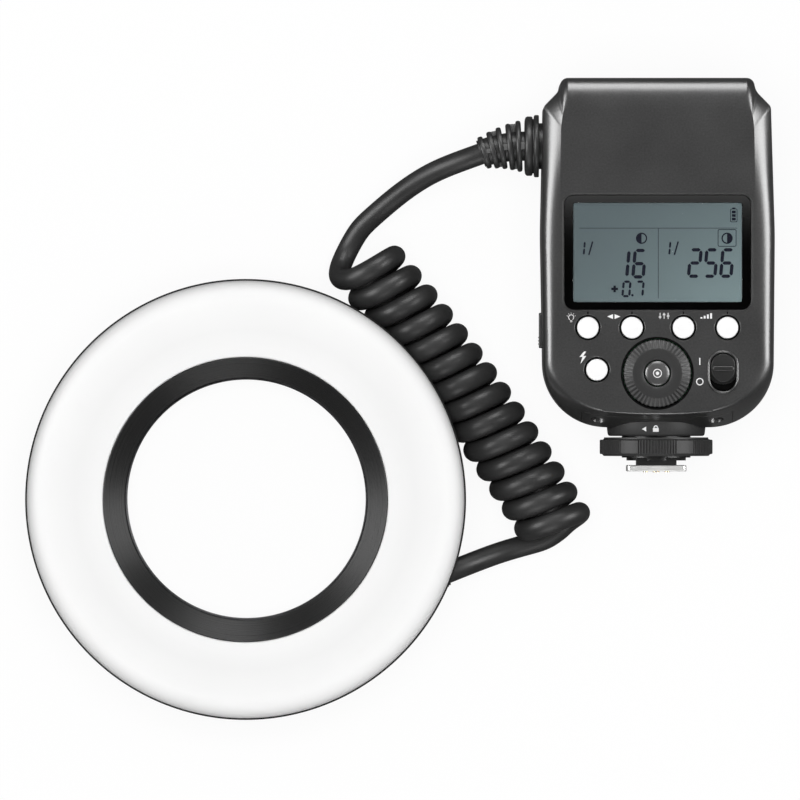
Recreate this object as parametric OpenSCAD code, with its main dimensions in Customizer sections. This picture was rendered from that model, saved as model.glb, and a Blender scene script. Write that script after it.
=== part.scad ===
// Macro ring flash: a ring head on a lens adapter, a shoe-mounted control unit and a curly cord.
// Millimetres. The origin is on the lens axis, at the end of the adapter's thread.
// +Z is the way the light goes, and the whole set lies on the table at z = 0.

/* [Head] */

// Outer radius of the head at its rim
head_r = 68.5; // [66:0.5:72]
// Thickness of the head, from its rear face to the diffuser's face
head_t = 27.7; // [26.5:0.1:32]
// Radius of the funnel's mouth at the front
mouth_r = 44.5; // [43:0.1:46.5]
// Wall thickness of the head's housing
head_wall = 1.8; // [1.4:0.1:2.2]
// Outer radius of the housing at its rear end
rear_r = 60; // [58:0.5:61]
// Radius of the rounding on the diffuser's outer edge
diffuser_round = 5.5; // [4.5:0.1:6.2]
// Thickness of the diffuser's face
diffuser_t = 2; // [1.5:0.1:2.6]
// Number of turned grooves in the funnel
funnel_grooves = 14; // [6:1:20]
// Radius of a flash tube's glass
tube_r = 3; // [2.2:0.1:3.2]

/* [Adapter] */

// Diameter of the filter thread
thread_d = 77; // [76:0.5:78]
// Length of the filter thread
thread_l = 4.5; // [3.5:0.1:6]
// Wall of the adapter at its thread
thread_wall = 1; // [0.8:0.1:1.6]
// Thickness of the flange behind the head
flange_t = 1.5; // [1:0.1:2.5]
// Outward travel of a release latch
latch_travel = 2; // [1.6:0.1:2.4]

/* [Control unit] */

// Width of the housing
unit_w = 73.2; // [70:0.2:78]
// Height of the housing without its foot
unit_h = 107.8; // [105:0.2:114]
// Depth of the housing
unit_d = 50; // [49:0.5:54]
// Wall thickness of the housing
unit_wall = 2; // [1.6:0.1:2.4]
// Width of the display window
window_w = 58; // [54:0.2:59]
// Height of the display window
window_h = 35.6; // [32:0.2:36.4]
// Thickness of the display window
window_t = 1.6; // [1.2:0.1:2]
// Radius of a function key
key_r = 3.3; // [2.8:0.1:3.6]
// Radius of the dial
dial_r = 10.6; // [9.6:0.1:11]
// Radius of the centre key in the dial
set_r = 3.85; // [3.2:0.05:4.2]
// How far a key can be pressed
key_travel = 0.6; // [0.4:0.05:0.7]
// Travel of the power slider
power_travel = 2.6; // [2:0.1:3]
// Height of the battery pack, along the unit's height
battery_h = 42; // [38:0.5:43]
// Thickness of the battery pack
battery_t = 20.2; // [17:0.1:20.4]

/* [Foot] */

// Outer radius of the lock ring
ring_r = 17.65; // [16.5:0.05:18.5]
// Thickness of the lock ring
ring_t = 5.2; // [4.4:0.1:5.6]
// Radius of the stem that the lock ring turns on
stem_r = 10.75; // [9.8:0.05:11]
// Width of the shoe plate
shoe_w = 18.6; // [18.3:0.1:18.8]
// Length of the shoe plate
shoe_l = 18; // [16.5:0.1:18.6]
// Thickness of the shoe plate
shoe_t = 1.9; // [1.6:0.05:2]
// How far the lock pin comes out
pin_travel = 1.7; // [1:0.1:2]

/* [Cord] */

// Diameter of the cord
cord_d = 6.7; // [5.2:0.1:6.7]
// Outer diameter of the curls
curl_d = 24; // [22.4:0.1:24.4]
// Number of curls, a whole number and a half
curl_turns = 13.5; // [11.5:1:13.5]
// Outer radius of the strain relief at its thick end
boot_r = 8; // [7:0.1:8.6]
// Outer radius of the strain relief at its tip
boot_tip_r = 6.1; // [5.2:0.1:6.8]

/* [Fits] */

// Radial clearance of a turning fit
run_fit = 0.06; // [0.03:0.01:0.09]
// Clearance around a piece that moves
move_gap = 0.3; // [0.25:0.05:0.4]
// Clearance around a piece that is set in
set_gap = 0.15; // [0.1:0.05:0.25]

/* [Hidden] */

$fn = 72;
far = 300;
charcoal = [0.2, 0.2, 0.21];
black = [0.1, 0.1, 0.1];
white = [0.95, 0.95, 0.94];
metal = [0.78, 0.78, 0.76];
green = [0.16, 0.34, 0.2];
glass = [0.75, 0.82, 0.84];
rubber = [0.16, 0.16, 0.16];

// Head, from the table up
lens_r = thread_d / 2 - thread_wall;
spigot_r = thread_d / 2 + 2.5;
seat_r = spigot_r + run_fit;
seat_wall = 2;
flange_z = thread_l + flange_t;
head_z = flange_z + move_gap;
floor_z = head_z + head_wall;
face_z = head_z + head_t;
rim_z = face_z - 6.4;
flare_top = rim_z - 3;
flare_low = head_z + 2.7;
seat_h = 7.2;
seat_z = head_z + seat_h;
spigot_z = seat_z - 0.5;
pocket_z = rim_z - 1.6;
pocket_r = head_r - head_wall - 1.6;
funnel_wall = 1.6;
throat_r = lens_r + 0.7;
sheet_t = 0.8;

// Lamp carrier, reflector and tubes
carrier_z = seat_z - 0.2;
carrier_t = 1.2;
trough_z = carrier_z + carrier_t;
trough_w = 8;
trough_out = rear_r - head_wall - 1.2;
trough_in = trough_out - trough_w;
lamp_r = (trough_in + trough_out) / 2;
lamp_z = trough_z + sheet_t + set_gap + tube_r;
electrode_r = 2;
electrode_l = 5;
lamp_board_l = 9;
lamp_board_gap = 3.3;
tube_half = 90 - asin((lamp_board_l / 2 + lamp_board_gap + electrode_l) / lamp_r);
grommet_w = trough_out - trough_in - 2 * sheet_t - 4 * set_gap;
post_angles = [45, 115, 245, 315];
post_r = 2.6;
screw_head_r = 2.2;
screw_head_t = 0.9;
screw_r = 1;
screw_l = 5.5;

// Release latches
claw_bite = 0.8;
groove_depth = claw_bite + move_gap;
latch_t = 2;
latch_w = 11;
claw_w = 8;
latch_z = floor_z + set_gap;
latch_tip = spigot_r - claw_bite;
latch_tail = rear_r - head_wall - latch_travel - 2;
tab_from = seat_r + seat_wall + 3.64;
tab_to = latch_tail - 1;
tab_step = (tab_to - tab_from - 0.1) / 4;
latch_angles = [90, 270];
spring_t = 0.35;
spring_bow = 3;
spring_half = 4.6;

// Where the cord enters the head
gland_side = -23.105;
gland_reach = rear_r + 3.71;
gland_mouth = [gland_reach * cos(gland_side), gland_reach * sin(gland_side), head_z + 5.7];
gland_turn = 22.6;
gland_dir = [cos(gland_turn), sin(gland_turn), 0];
gland_boss_r = 5.6;
gland_plug_r = 4;
gland_plug_l = 5;
gland_flange_r = 5;
gland_flange_t = 1.2;
gland_tip_l = 3.4;
gland_end = gland_mouth + gland_dir * (gland_flange_t + gland_tip_l);

// Control unit on the table
unit_at = [128.4, 23.6, 0];
part_z = 26;
side_x = unit_w / 2;
bend_y = 0.55 * unit_h;
top_taper = 1.2;
side_drop = 6;
chin_drop = 16;
front_drop = 7;
top_steps = 5;
front_steps = 4;
// Outlines as corners of x, y, rounding radius and number of steps, right half from the bottom up
mid_half = [
    [side_x, 1.6, 18.5, 9],
    [side_x, bend_y, 150, 2],
    [side_x - top_taper, unit_h - 8.9, 2.4, 3],
    [side_x - 5.9, unit_h - 4.1, 5, 4],
    [side_x - 6.8, unit_h, 2.5, 3]
];
panel_half = [
    [side_x - 3.2, 5.7, 17.5, 9],
    [side_x - 3.4, 0.45 * unit_h, 150, 2],
    [side_x - 5.7, unit_h - 15.8, 8, 3],
    [side_x - 6.4, unit_h - 9.8, 5, 4],
    [side_x - 7.2, unit_h - 5.5, 2.4, 3]
];
front_half = [
    [side_x - 5, 6.4, 14, 9],
    [side_x - 5.1, bend_y, 150, 2],
    [side_x - 6.2, unit_h - 13, 8, 3],
    [side_x - 7.4, unit_h - 8.6, 5, 4],
    [side_x - 8.8, unit_h - 4.9, 2.6, 3]
];
mid_loop = whole([0, 0.2, 220, 2], mid_half);
panel_loop = whole([0, 4.4, 150, 2], panel_half);
front_loop = whole([0, 5, 220, 2], front_half);

// Control panel
window_y = 53.4;
window_round = 3;
view_w = window_w - 5.4;
view_h = window_h - 4.6;
key_x = [-21.7, -8, 8, 21.7];
key_y = 30;
test_at = [-18.9, 16.9];
dial_at = [-0.1, 15.8];
dial_grips = 48;
power_at = [20.4, 16.2];
knob_w = 7.6;
knob_l = 8.8;
slot_w = knob_w + 2 * move_gap;
slot_l = knob_l + power_travel + 2 * move_gap;
knob_y = power_at[1] + power_travel / 2;
inner_z = unit_d - unit_wall;
cap_gap = set_gap;
collar_t = 0.9;
key_proud = 0.8;
board_t = 1.6;
board_z = inner_z - 7;
board_top = board_z + board_t;
switch_t = 1.8;
stem_z = board_top + switch_t + key_travel + 0.2;
encoder_z = board_top + 3.8;
encoder_bore = set_r + 0.45;
control_low = 7.4;
control_high = window_y + window_h / 2 + 7.2;
control_posts = [[-27.5, 23], [27.5, 23], [-30.4, control_high - 3.2], [30.4, control_high - 3.2]];
post_in_r = 1.9;
power_z = 31;
power_top = power_z + board_t;
power_low = 9;
power_high = unit_h - 13.8;

// Inside the unit
sleeve_wall = 1.2;
battery_y = 42.3;
battery_z = unit_wall + sleeve_wall + move_gap;
battery_in = -28.4;
battery_out = side_x - 3.2;
sleeve_in = -31;
sleeve_top = battery_y + battery_h / 2 + move_gap + sleeve_wall;
power_posts = [[-27, 13], [27, 13], [-28.2, sleeve_top + 4.2], [30.6, sleeve_top + 4.2]];
capacitor_r = 12.4;
capacitor_at = [-21, (sleeve_top + unit_h - unit_wall) / 2 + 0.3, unit_wall + capacitor_r + set_gap];
capacitor_l = 41.6;
cradle_x = [-18.5, 17.5];
case_screws = [[-14, 8], [14, 8], [-24, unit_h - 6.8], [24, unit_h - 6.8]];
sensor_w = 34;
sensor_h = 14;
sensor_round = 3;
case_post_r = 2.4;
port_y = 29.2;
port_z = 33.2;
port_w = 11;
port_h = 9;
flap_t = 0.9;

// Foot
foot_z = part_z;
bracket_w = 46.8;
bracket_y = 4.8;
bracket_z = [9, unit_d - 4.6];
bracket_screws = [-18.4, 18.4];
bracket_screw_z = unit_d - 9;
collar_y = 1;
foot_collar_r = 15.6;
foot_collar_l = 4.75;
ring_y = collar_y - foot_collar_l - 1.05;
stem_end = ring_y - ring_t - 0.5;
stem_boss_l = 0.9;
neck_w = 12.4;
neck_l = shoe_l - 0.4;
shoe_y = stem_end - 2.4;
shoe_bottom = shoe_y - shoe_t;
tongue_w = 11;
tongue_l = 11;
pin_r = 1;
pin_z = foot_z - 7.2;
contact_r = 1.1;
contact_small_r = 0.7;
contact_at = [[-3.4, -3], [3.4, -3], [-3.4, 3], [3.4, 3]];
contact_travel = 0.4;
contact_proud = 0.3;

// Strain relief on the unit's left wall
boot_y = unit_h - 20.9;
boot_z = part_z;
boot_base = -side_x;
boot_hole_r = 7;
boot_seat = boot_base + unit_wall + top_taper + 0.2;
boot_disc = [9.75, 9.3];
boot_start = boot_base - 4.6;
boot_bend = 20;
boot_turn_r = 40;
boot_ribs = 5;
boot_core_r = cord_d / 2 + 1.3;
boot_end = unit_at + [
    boot_start - boot_turn_r * sin(boot_bend),
    boot_y - boot_turn_r * (1 - cos(boot_bend)),
    boot_z
];
boot_dir = [-cos(boot_bend), -sin(boot_bend), 0];

// Curls: their axis is a bow through three points on the table
curl_r = (curl_d - cord_d) / 2;
curl_z = curl_d / 2 + 0.1;
curl_from = [37.2, 74];
curl_by = [70.4, 35.4];
curl_to = [97, -8.4];
// How much wider the first curls are spaced, how the curls lean, and how much more the first one leans
curl_ease = 0.02;
lean_side = 0.05;
lean_up = 0.06;
lean_first = 0.05;
// The cord joins the first curl part of the way up, and leaves the last one where it runs flat
curl_first = 0.23;
curl_tail = 0.15;
curl_rings = 12;
curl_sides = 8;
cord_sides = 10;

// Route of the cord as round points: down from the strain relief, into the curls, out of them, to the head
upper_way = [
    [66, 105.4, 24.2],
    [58.4, 102.4, 20.2],
    [50.6, 97.6, 15]
];
upper_joint = [43.2, 91.8, 9.8];
lead_in_way = [
    [35.5, 84.8, 6.4],
    [31.5, 77.7, 4.4],
    [28.7, 70.9, 9],
    [30.5, 68.2, 15.2]
];
lead_out_way = [
    [95.1, -12.5, 3.5]
];
lower_joint = [84.4, -15.3, 3.5];
lower_way = [
    [76.4, -18, 5.8],
    [69, -20.8, 10.4]
];
// Direction of the cord at the two joints, where it runs straight for one diameter
upper_joint_way = way(lead_in_way[0] - upper_joint);
lower_joint_way = way(lower_joint - lead_out_way[0]);

// Outlines
function way(v) = v / norm(v);
function left_of(v) = way([-v[1], v[0]]);
function flat(p) = [p[0], p[1]];
function mirrored(c) = [-c[0], c[1], c[2], c[3]];
function whole(bottom, half) = concat(
    [bottom],
    half,
    [for (i = [len(half) - 1:-1:0]) mirrored(half[i])]
);
function before(v, i) = v[(i + len(v) - 1) % len(v)];
function after(v, i) = v[(i + 1) % len(v)];
function corner_arc(a, b, c, r, steps) =
    let (u = way(a - b), v = way(c - b))
    let (half = acos(u * v) / 2)
    let (mid = b + way(u + v) * r / sin(half))
    let (start = b + u * r / tan(half) - mid, end = b + v * r / tan(half) - mid)
    let (from = atan2(start[1], start[0]))
    let (sweep = (atan2(end[1], end[0]) - from + 540) % 360 - 180)
    [for (k = [0:steps]) mid + r * [cos(from + sweep * k / steps), sin(from + sweep * k / steps)]];
function rounded(v) = [
    for (i = [0:len(v) - 1])
        each corner_arc(flat(before(v, i)), flat(v[i]), flat(after(v, i)), v[i][2], v[i][3])
];
function inset_point(a, b, c, d) =
    let (m = left_of(b - a), n = left_of(c - b))
    b + d * (m + n) / (1 + m * n);
function is_convex(a, b, c) = (b[0] - a[0]) * (c[1] - b[1]) - (b[1] - a[1]) * (c[0] - b[0]) > 0;
function inset(v, d) = [
    for (i = [0:len(v) - 1])
        let (a = flat(before(v, i)), b = flat(v[i]), c = flat(after(v, i)))
        let (p = inset_point(a, b, c, d))
        [p[0], p[1], is_convex(a, b, c) ? max(v[i][2] - d, 0.4) : v[i][2], v[i][3]]
];
function box_corners(w, h, r) = [
    [w / 2, -h / 2, r, 5],
    [w / 2, h / 2, r, 5],
    [-w / 2, h / 2, r, 5],
    [-w / 2, -h / 2, r, 5]
];

// Share of the chin's slope in the profile at each point of an outline
function ease(u) = u * u * (3 - 2 * u);
function chin_share(v) = [
    for (i = [0:len(v) - 1])
        for (k = [0:v[i][3]])
            i == 0 ? 1 : i == 1 ? 1 - ease(k / v[i][3]) : i == len(v) - 1 ? ease(k / v[i][3]) : 0
];
function front_ring(low, mid, d, t) = [
    for (i = [0:len(mid) - 1])
        let (p = mid[i] + (low[i] - mid[i]) * (1 - sin(90 * t)))
        [p[0], p[1], d + (front_drop - d) * (1 - cos(90 * t))]
];
function top_ring(mid, high, share, d, t) = [
    for (i = [0:len(mid) - 1])
        let (w = share[i])
        let (p = mid[i] + (high[i] - mid[i]) * ((1 - w) * (1 - cos(90 * t)) + w * t))
        let (base = unit_d - side_drop - w * (chin_drop - side_drop))
        [p[0], p[1], base + (unit_d - d - base) * ((1 - w) * sin(90 * t) + w * t)]
];

// Solids made of rings of points, lowest ring first
function ring_faces(rings, n) = [
    for (l = [0:rings - 2])
        for (i = [0:n - 1])
            let (j = (i + 1) % n)
            each [
                [l * n + i, (l + 1) * n + i, (l + 1) * n + j],
                [l * n + i, (l + 1) * n + j, l * n + j]
            ]
];
module ring_solid(rings) {
    n = len(rings[0]);
    last = (len(rings) - 1) * n;
    polyhedron(
        points = [for (r = rings) each r],
        faces = concat(
            [[for (i = [0:n - 1]) i]],
            ring_faces(len(rings), n),
            [[for (i = [n - 1:-1:0]) last + i]]
        ),
        convexity = 6
    );
}

// Tubes along a list of points, with the frame carried from ring to ring
function ahead(p, i, first, last) =
    i == 0 ? first : i == len(p) - 1 ? last : way(p[i + 1] - p[i - 1]);
function square_to(v, t) = way(v - t * (v * t));
function carried(p, first, last, start) = [
    for (i = 0, v = square_to(start, first);
         i < len(p);
         i = i + 1, v = i < len(p) ? square_to(v, ahead(p, i, first, last)) : v)
        v
];
module tube(p, r, sides, first, last) {
    frames = carried(p, first, last, [0.3, 0.2, 1]);
    ring_solid([
        for (i = [0:len(p) - 1])
            let (t = ahead(p, i, first, last), u = frames[i], w = cross(t, u))
            [for (k = [0:sides - 1]) p[i] + r * (u * cos(360 * k / sides) + w * sin(360 * k / sides))]
    ]);
}
function spline(a, b, c, d, t) =
    0.5 * (2 * b + (c - a) * t + (2 * a - 5 * b + 4 * c - d) * t * t + (3 * b - a - 3 * c + d) * t * t * t);
// A smooth line through the points v, where the first and the last only set the direction
function smooth(v, steps) = concat(
    [
        for (i = [1:len(v) - 3])
            for (k = [0:steps - 1])
                spline(v[i - 1], v[i], v[i + 1], v[i + 2], k / steps)
    ],
    [v[len(v) - 2]]
);

// Curls
function bow(t) = (1 - t) * (1 - t) * curl_from + 2 * t * (1 - t) * curl_by + t * t * curl_to;
function bow_way(t) = way((1 - t) * (curl_by - curl_from) + t * (curl_to - curl_by));
function curl_share(x) = (1 - curl_ease) * x + curl_ease * (1 - pow(1 - x, 4));
function curl_lean(n) = lean_up + lean_first * pow(max(0, 1 - max(n, 0) / 1.8), 2);
function curl(n) =
    let (t = curl_share(n / curl_turns), along = bow_way(t), turn = 180 - 360 * n)
    let (side = curl_r * cos(turn), up = curl_r * sin(turn))
    let (p = bow(t) + side * left_of(along) + (lean_side * side + curl_lean(n) * up) * along)
    [p[0], p[1], curl_z + up];
function curl_way(n) = way(curl(n + 0.002) - curl(n - 0.002));
curl_last = curl_turns + curl_tail;
curl_count = round((curl_last - curl_first) * curl_rings);
curl_run = [for (i = [1:curl_count - 1]) curl(curl_first + (curl_last - curl_first) * i / curl_count)];
// A free stretch leaves its first end along one direction and meets its last end along the other
function stretch(first, first_way, points, last, last_way) =
    let (near = points[0], next = points[len(points) - 1])
    let (lead_in = near - first_way * 2 * norm(near - first))
    let (lead_out = next + last_way * 2 * norm(last - next))
    smooth(concat([lead_in, first], points, [last, lead_out]), 4);
upper_points = stretch(boot_end, boot_dir, upper_way, upper_joint, upper_joint_way);
lower_points = stretch(lower_joint, lower_joint_way, lower_way, gland_end, -gland_dir);
straight_in = upper_joint + upper_joint_way * cord_d;
straight_out = lower_joint - lower_joint_way * cord_d;
curl_points = concat(
    [upper_joint],
    stretch(straight_in, upper_joint_way, lead_in_way, curl(curl_first), curl_way(curl_first)),
    curl_run,
    stretch(curl(curl_last), curl_way(curl_last), lead_out_way, straight_out, lower_joint_way),
    [lower_joint]
);
// Least gap of the cord to itself, measured between points more than two diameters apart along it
all_points = concat(upper_points, curl_points, lower_points);
point_count = len(all_points);
step_to = [for (i = [1:point_count - 1]) norm(all_points[i] - all_points[i - 1])];
run = [for (i = 0, s = 0; i < point_count; s = s + (i < point_count - 1 ? step_to[i] : 0), i = i + 1) s];
self_gap = min([
    for (i = [0:point_count - 1])
        for (j = [i + 1:1:point_count - 1])
            if (run[j] - run[i] > 2 * cord_d)
                norm(all_points[i] - all_points[j])
]) - cord_d;
echo(least_gap = self_gap, cord_length = run[point_count - 1]);

// Small solids
module slab(w, h, r, t) {
    linear_extrude(t) polygon(rounded(box_corners(w, h, r)));
}
module block(from, to) {
    translate(from) cube(to - from);
}
module turned(points) {
    rotate_extrude() polygon(points);
}
module on_unit() {
    translate(unit_at) children();
}
// Turns a solid that stands on z = 0 so that it points down the foot, from height y
module down_foot(y) {
    translate([0, y, foot_z]) rotate([90, 0, 0]) children();
}
module along_cord(at, turn) {
    translate(at) rotate([0, 0, turn]) rotate([0, 90, 0]) children();
}
module screw(cap_r, cap_t, shank_r, length) {
    difference() {
        union() {
            cylinder(h = cap_t, r = cap_r);
            cylinder(h = length, r = shank_r);
        }
        for (turn = [0, 90])
            rotate([0, 0, turn]) translate([-0.6 * cap_r, -0.25, -1])
                cube([1.2 * cap_r, 0.5, 1 + 0.6 * cap_t]);
    }
}

// Head
function flare(low_r, high_r, low_z, high_z, u) = [
    low_r + (high_r - low_r) * (1 - cos(90 * u)),
    low_z + (high_z - low_z) * sin(90 * u)
];
flare_steps = 8;
module head_outside() {
    turned(concat(
        [[lens_r + 1, head_z], [rear_r - 2, head_z], [rear_r - 0.6, head_z + 0.6]],
        [for (k = [0:flare_steps]) flare(rear_r, head_r, flare_low, flare_top, k / flare_steps)],
        [[head_r, rim_z], [lens_r + 1, rim_z]]
    ));
}
module head_inside() {
    turned(concat(
        [[seat_r + seat_wall, floor_z], [rear_r - head_wall, floor_z]],
        [
            for (k = [0:flare_steps])
                flare(rear_r - head_wall, pocket_r, flare_low + head_wall, pocket_z, k / flare_steps)
        ],
        [[head_r - head_wall, pocket_z], [head_r - head_wall, rim_z + 1], [seat_r + seat_wall, rim_z + 1]]
    ));
    translate([0, 0, seat_z]) cylinder(h = far, r = seat_r + seat_wall + 1);
}
module head_housing() {
    color(charcoal) {
        difference() {
            union() {
                head_outside();
                along_cord(gland_mouth - gland_dir * 14, gland_turn) cylinder(h = 14, r = gland_boss_r);
            }
            head_inside();
            translate([0, 0, -1]) cylinder(h = far, r = seat_r);
            along_cord(gland_mouth - gland_dir * gland_plug_l, gland_turn)
                cylinder(h = gland_plug_l + 1, r = gland_plug_r + set_gap);
            along_cord(gland_mouth - gland_dir * 20, gland_turn) cylinder(h = 20, r = 2);
            for (turn = latch_angles) rotate([0, 0, turn]) {
                block(
                    [seat_r - 1, -claw_w / 2 - move_gap, floor_z],
                    [seat_r + seat_wall + 1, claw_w / 2 + move_gap, latch_z + latch_t + move_gap]
                );
                block(
                    [tab_from - move_gap, -claw_w / 2 - move_gap, head_z - 1],
                    [tab_to + latch_travel + move_gap, claw_w / 2 + move_gap, floor_z + 1]
                );
            }
            for (turn = post_angles) rotate([0, 0, turn]) translate([lamp_r, 0, 0]) {
                translate([0, 0, head_z - 1]) cylinder(h = 1 + screw_head_t, r = screw_head_r + set_gap);
                translate([0, 0, head_z]) cylinder(h = far, r = screw_r + set_gap);
            }
        }
        for (turn = latch_angles, side = [-1, 1]) rotate([0, 0, turn])
            block([tab_from, side * (latch_w / 2 + move_gap + 0.6) - 0.6, floor_z - 0.5],
                [tab_to, side * (latch_w / 2 + move_gap + 0.6) + 0.6, latch_z + latch_t]);
        for (turn = [140, 180, 220]) rotate([0, 0, turn]) translate([lamp_r, 0, floor_z - 0.5])
            cylinder(h = 0.5 + 1.2, r = post_in_r);
    }
}
module funnel() {
    top = face_z + 0.4;
    low = seat_z + 1.4;
    step = 1 / funnel_grooves;
    color(black) turned(concat(
        [[throat_r, seat_z], [seat_r + seat_wall - 0.2, seat_z], [seat_r + seat_wall - 0.2, low]],
        [
            [throat_r + funnel_wall + 0.4, low + 1.5],
            [mouth_r - 2.2 + funnel_wall, face_z - 7],
            [mouth_r + 2.8, face_z - diffuser_t - 1.4],
            [mouth_r + 2.8, face_z - diffuser_t],
            [mouth_r + 0.8, face_z - diffuser_t],
            [mouth_r + 0.8, top],
            [mouth_r + 0.1, top]
        ],
        [
            for (k = [funnel_grooves:-1:1])
                let (u = k * step, r = throat_r + (mouth_r - throat_r) * u, z = low + (top - 0.6 - low) * u)
                each [
                    [r, z],
                    [r + 0.15, z - (top - low) * step * 0.75]
                ]
        ],
        [[throat_r, low]]
    ));
}
module diffuser() {
    edge = head_r - 0.3;
    inner = edge - 3;
    inner_round = diffuser_round - 3;
    low = face_z - diffuser_t;
    color(white) turned(concat(
        [[inner, pocket_z + set_gap], [head_r - head_wall - set_gap, pocket_z + set_gap]],
        [[head_r - head_wall - set_gap, rim_z], [edge, rim_z]],
        [
            for (k = [0:7])
                let (turn = 90 * k / 7)
                [edge - diffuser_round * (1 - cos(turn)), face_z - diffuser_round * (1 - sin(turn))]
        ],
        [[mouth_r + 0.8 + set_gap, face_z], [mouth_r + 0.8 + set_gap, low]],
        [
            for (k = [5:-1:0])
                [inner - inner_round * (1 - cos(90 * k / 5)), low - inner_round * (1 - sin(90 * k / 5))]
        ]
    ));
}
module reflector() {
    lip = face_z - 5;
    lip_r = head_r - 5.9;
    knee = lip - 5;
    color(metal) turned([
        [trough_in, trough_z],
        [trough_out, trough_z],
        [trough_out + 0.6, knee],
        [lip_r, lip],
        [lip_r - 0.6, lip + 0.6],
        [trough_out - 0.2, knee + 0.3],
        [trough_out - sheet_t, trough_z + sheet_t],
        [trough_in + sheet_t, trough_z + sheet_t],
        [mouth_r + 2.6 + sheet_t, lip],
        [mouth_r + 2.6, lip]
    ]);
}
module lamp_carrier() {
    color(black) difference() {
        union() {
            translate([0, 0, carrier_z]) difference() {
                cylinder(h = carrier_t, r = trough_out - 0.2);
                translate([0, 0, -1]) cylinder(h = carrier_t + 2, r = trough_in + 0.2);
            }
            for (turn = post_angles) rotate([0, 0, turn]) translate([lamp_r, 0, floor_z])
                cylinder(h = carrier_z - floor_z + 0.5, r = post_r);
        }
        for (turn = post_angles) rotate([0, 0, turn]) translate([lamp_r, 0, head_z])
            cylinder(h = screw_l + 0.4, r = screw_r + 0.02);
    }
}
module flash_tube(turn) {
    color(glass) rotate([0, 0, turn - tube_half]) translate([0, 0, lamp_z])
        rotate_extrude(angle = 2 * tube_half) translate([lamp_r, 0]) circle(tube_r);
}
module flash_tube_a() {
    flash_tube(90);
}
module flash_tube_b() {
    flash_tube(270);
}
// Places a solid that stands on z = 0 so that it points on from the end of a flash tube
module at_tube_ends() {
    for (turn = [90, 270]) {
        rotate([0, 0, turn + tube_half]) translate([lamp_r, 0, lamp_z]) rotate([-90, 0, 0]) children();
        rotate([0, 0, turn - tube_half]) translate([lamp_r, 0, lamp_z]) rotate([90, 0, 0]) children();
    }
}
module tube_electrodes() {
    color(metal) at_tube_ends() cylinder(h = electrode_l, r = electrode_r);
}
module tube_grommets() {
    low = lamp_z - trough_z - sheet_t;
    color(rubber) at_tube_ends() difference() {
        translate([-grommet_w / 2, -low, 1]) cube([grommet_w, 2 * low, 2.6]);
        cylinder(h = electrode_l + 1, r = electrode_r + set_gap);
    }
}
module lamp_boards() {
    color(green) for (turn = [0, 180]) rotate([0, 0, turn]) translate([lamp_r, 0, trough_z + sheet_t]) {
        translate([-3, -lamp_board_l / 2, 0]) cube([6, lamp_board_l, 1]);
        for (side = [-1, 1]) translate([0, side * (lamp_board_l / 2 - 2.3), 0.5]) cylinder(h = 2.2, r = 1.6);
    }
}
module head_board() {
    color(green) translate([0, 0, floor_z + 1.2]) {
        rotate([0, 0, 128]) rotate_extrude(angle = 104)
            translate([seat_r + seat_wall + 1.5, 0])
                square([rear_r - head_wall - seat_r - seat_wall - 3, 1.2]);
        for (turn = [150, 170, 200]) rotate([0, 0, turn]) translate([lamp_r - 3, -4, 0.6]) cube([6, 8, 2.2]);
    }
}
module head_screws() {
    color(metal) for (turn = post_angles) rotate([0, 0, turn]) translate([lamp_r, 0, head_z + 0.1])
        screw(screw_head_r, screw_head_t - 0.1, screw_r, screw_l);
}
module adapter_ring() {
    low = latch_z - move_gap;
    high = latch_z + latch_t + move_gap;
    color(black) turned([
        [lens_r, 0.4],
        [lens_r + 0.4, 0],
        [thread_d / 2 - 0.3, 0],
        [thread_d / 2, 0.3],
        [thread_d / 2, thread_l],
        [spigot_r + 2, thread_l],
        [spigot_r + 2, flange_z],
        [spigot_r, flange_z],
        [spigot_r, low],
        [spigot_r - groove_depth, low],
        [spigot_r - groove_depth, high],
        [spigot_r, high],
        [spigot_r, spigot_z],
        [lens_r, spigot_z]
    ]);
}
module latch(turn) {
    color(charcoal) rotate([0, 0, turn]) {
        block([latch_tip, -claw_w / 2, latch_z], [seat_r + seat_wall + 2, claw_w / 2, latch_z + latch_t]);
        block([seat_r + seat_wall + 1, -latch_w / 2, latch_z], [latch_tail, latch_w / 2, latch_z + latch_t]);
        block([tab_from, -claw_w / 2, head_z - 1.2], [tab_to, claw_w / 2, latch_z + 0.5]);
        for (k = [0:3])
            block(
                [tab_from + (k + 0.375) * tab_step, -claw_w / 2, head_z - 1.7],
                [tab_from + (k + 0.875) * tab_step, claw_w / 2, head_z - 0.7]
            );
    }
}
module latch_top() {
    latch(latch_angles[0]);
}
module latch_bottom() {
    latch(latch_angles[1]);
}
module latch_spring(turn) {
    bend_r = (spring_half * spring_half + spring_bow * spring_bow) / (2 * spring_bow);
    half = asin(spring_half / bend_r);
    color(metal) rotate([0, 0, turn]) translate([latch_tail + set_gap + bend_r, 0, latch_z])
        rotate([0, 0, 180 - half]) rotate_extrude(angle = 2 * half)
            translate([bend_r - spring_t, 0]) square([spring_t, latch_t]);
}
module latch_spring_top() {
    latch_spring(latch_angles[0]);
}
module latch_spring_bottom() {
    latch_spring(latch_angles[1]);
}
module head_gland() {
    color(rubber) along_cord(gland_mouth, gland_turn) {
        translate([0, 0, -gland_plug_l]) cylinder(h = gland_plug_l + 0.5, r = gland_plug_r);
        cylinder(h = gland_flange_t, r = gland_flange_r);
        translate([0, 0, gland_flange_t])
            cylinder(h = gland_tip_l, r1 = gland_flange_r - 0.6, r2 = cord_d / 2 + 0.6);
    }
}

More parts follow.
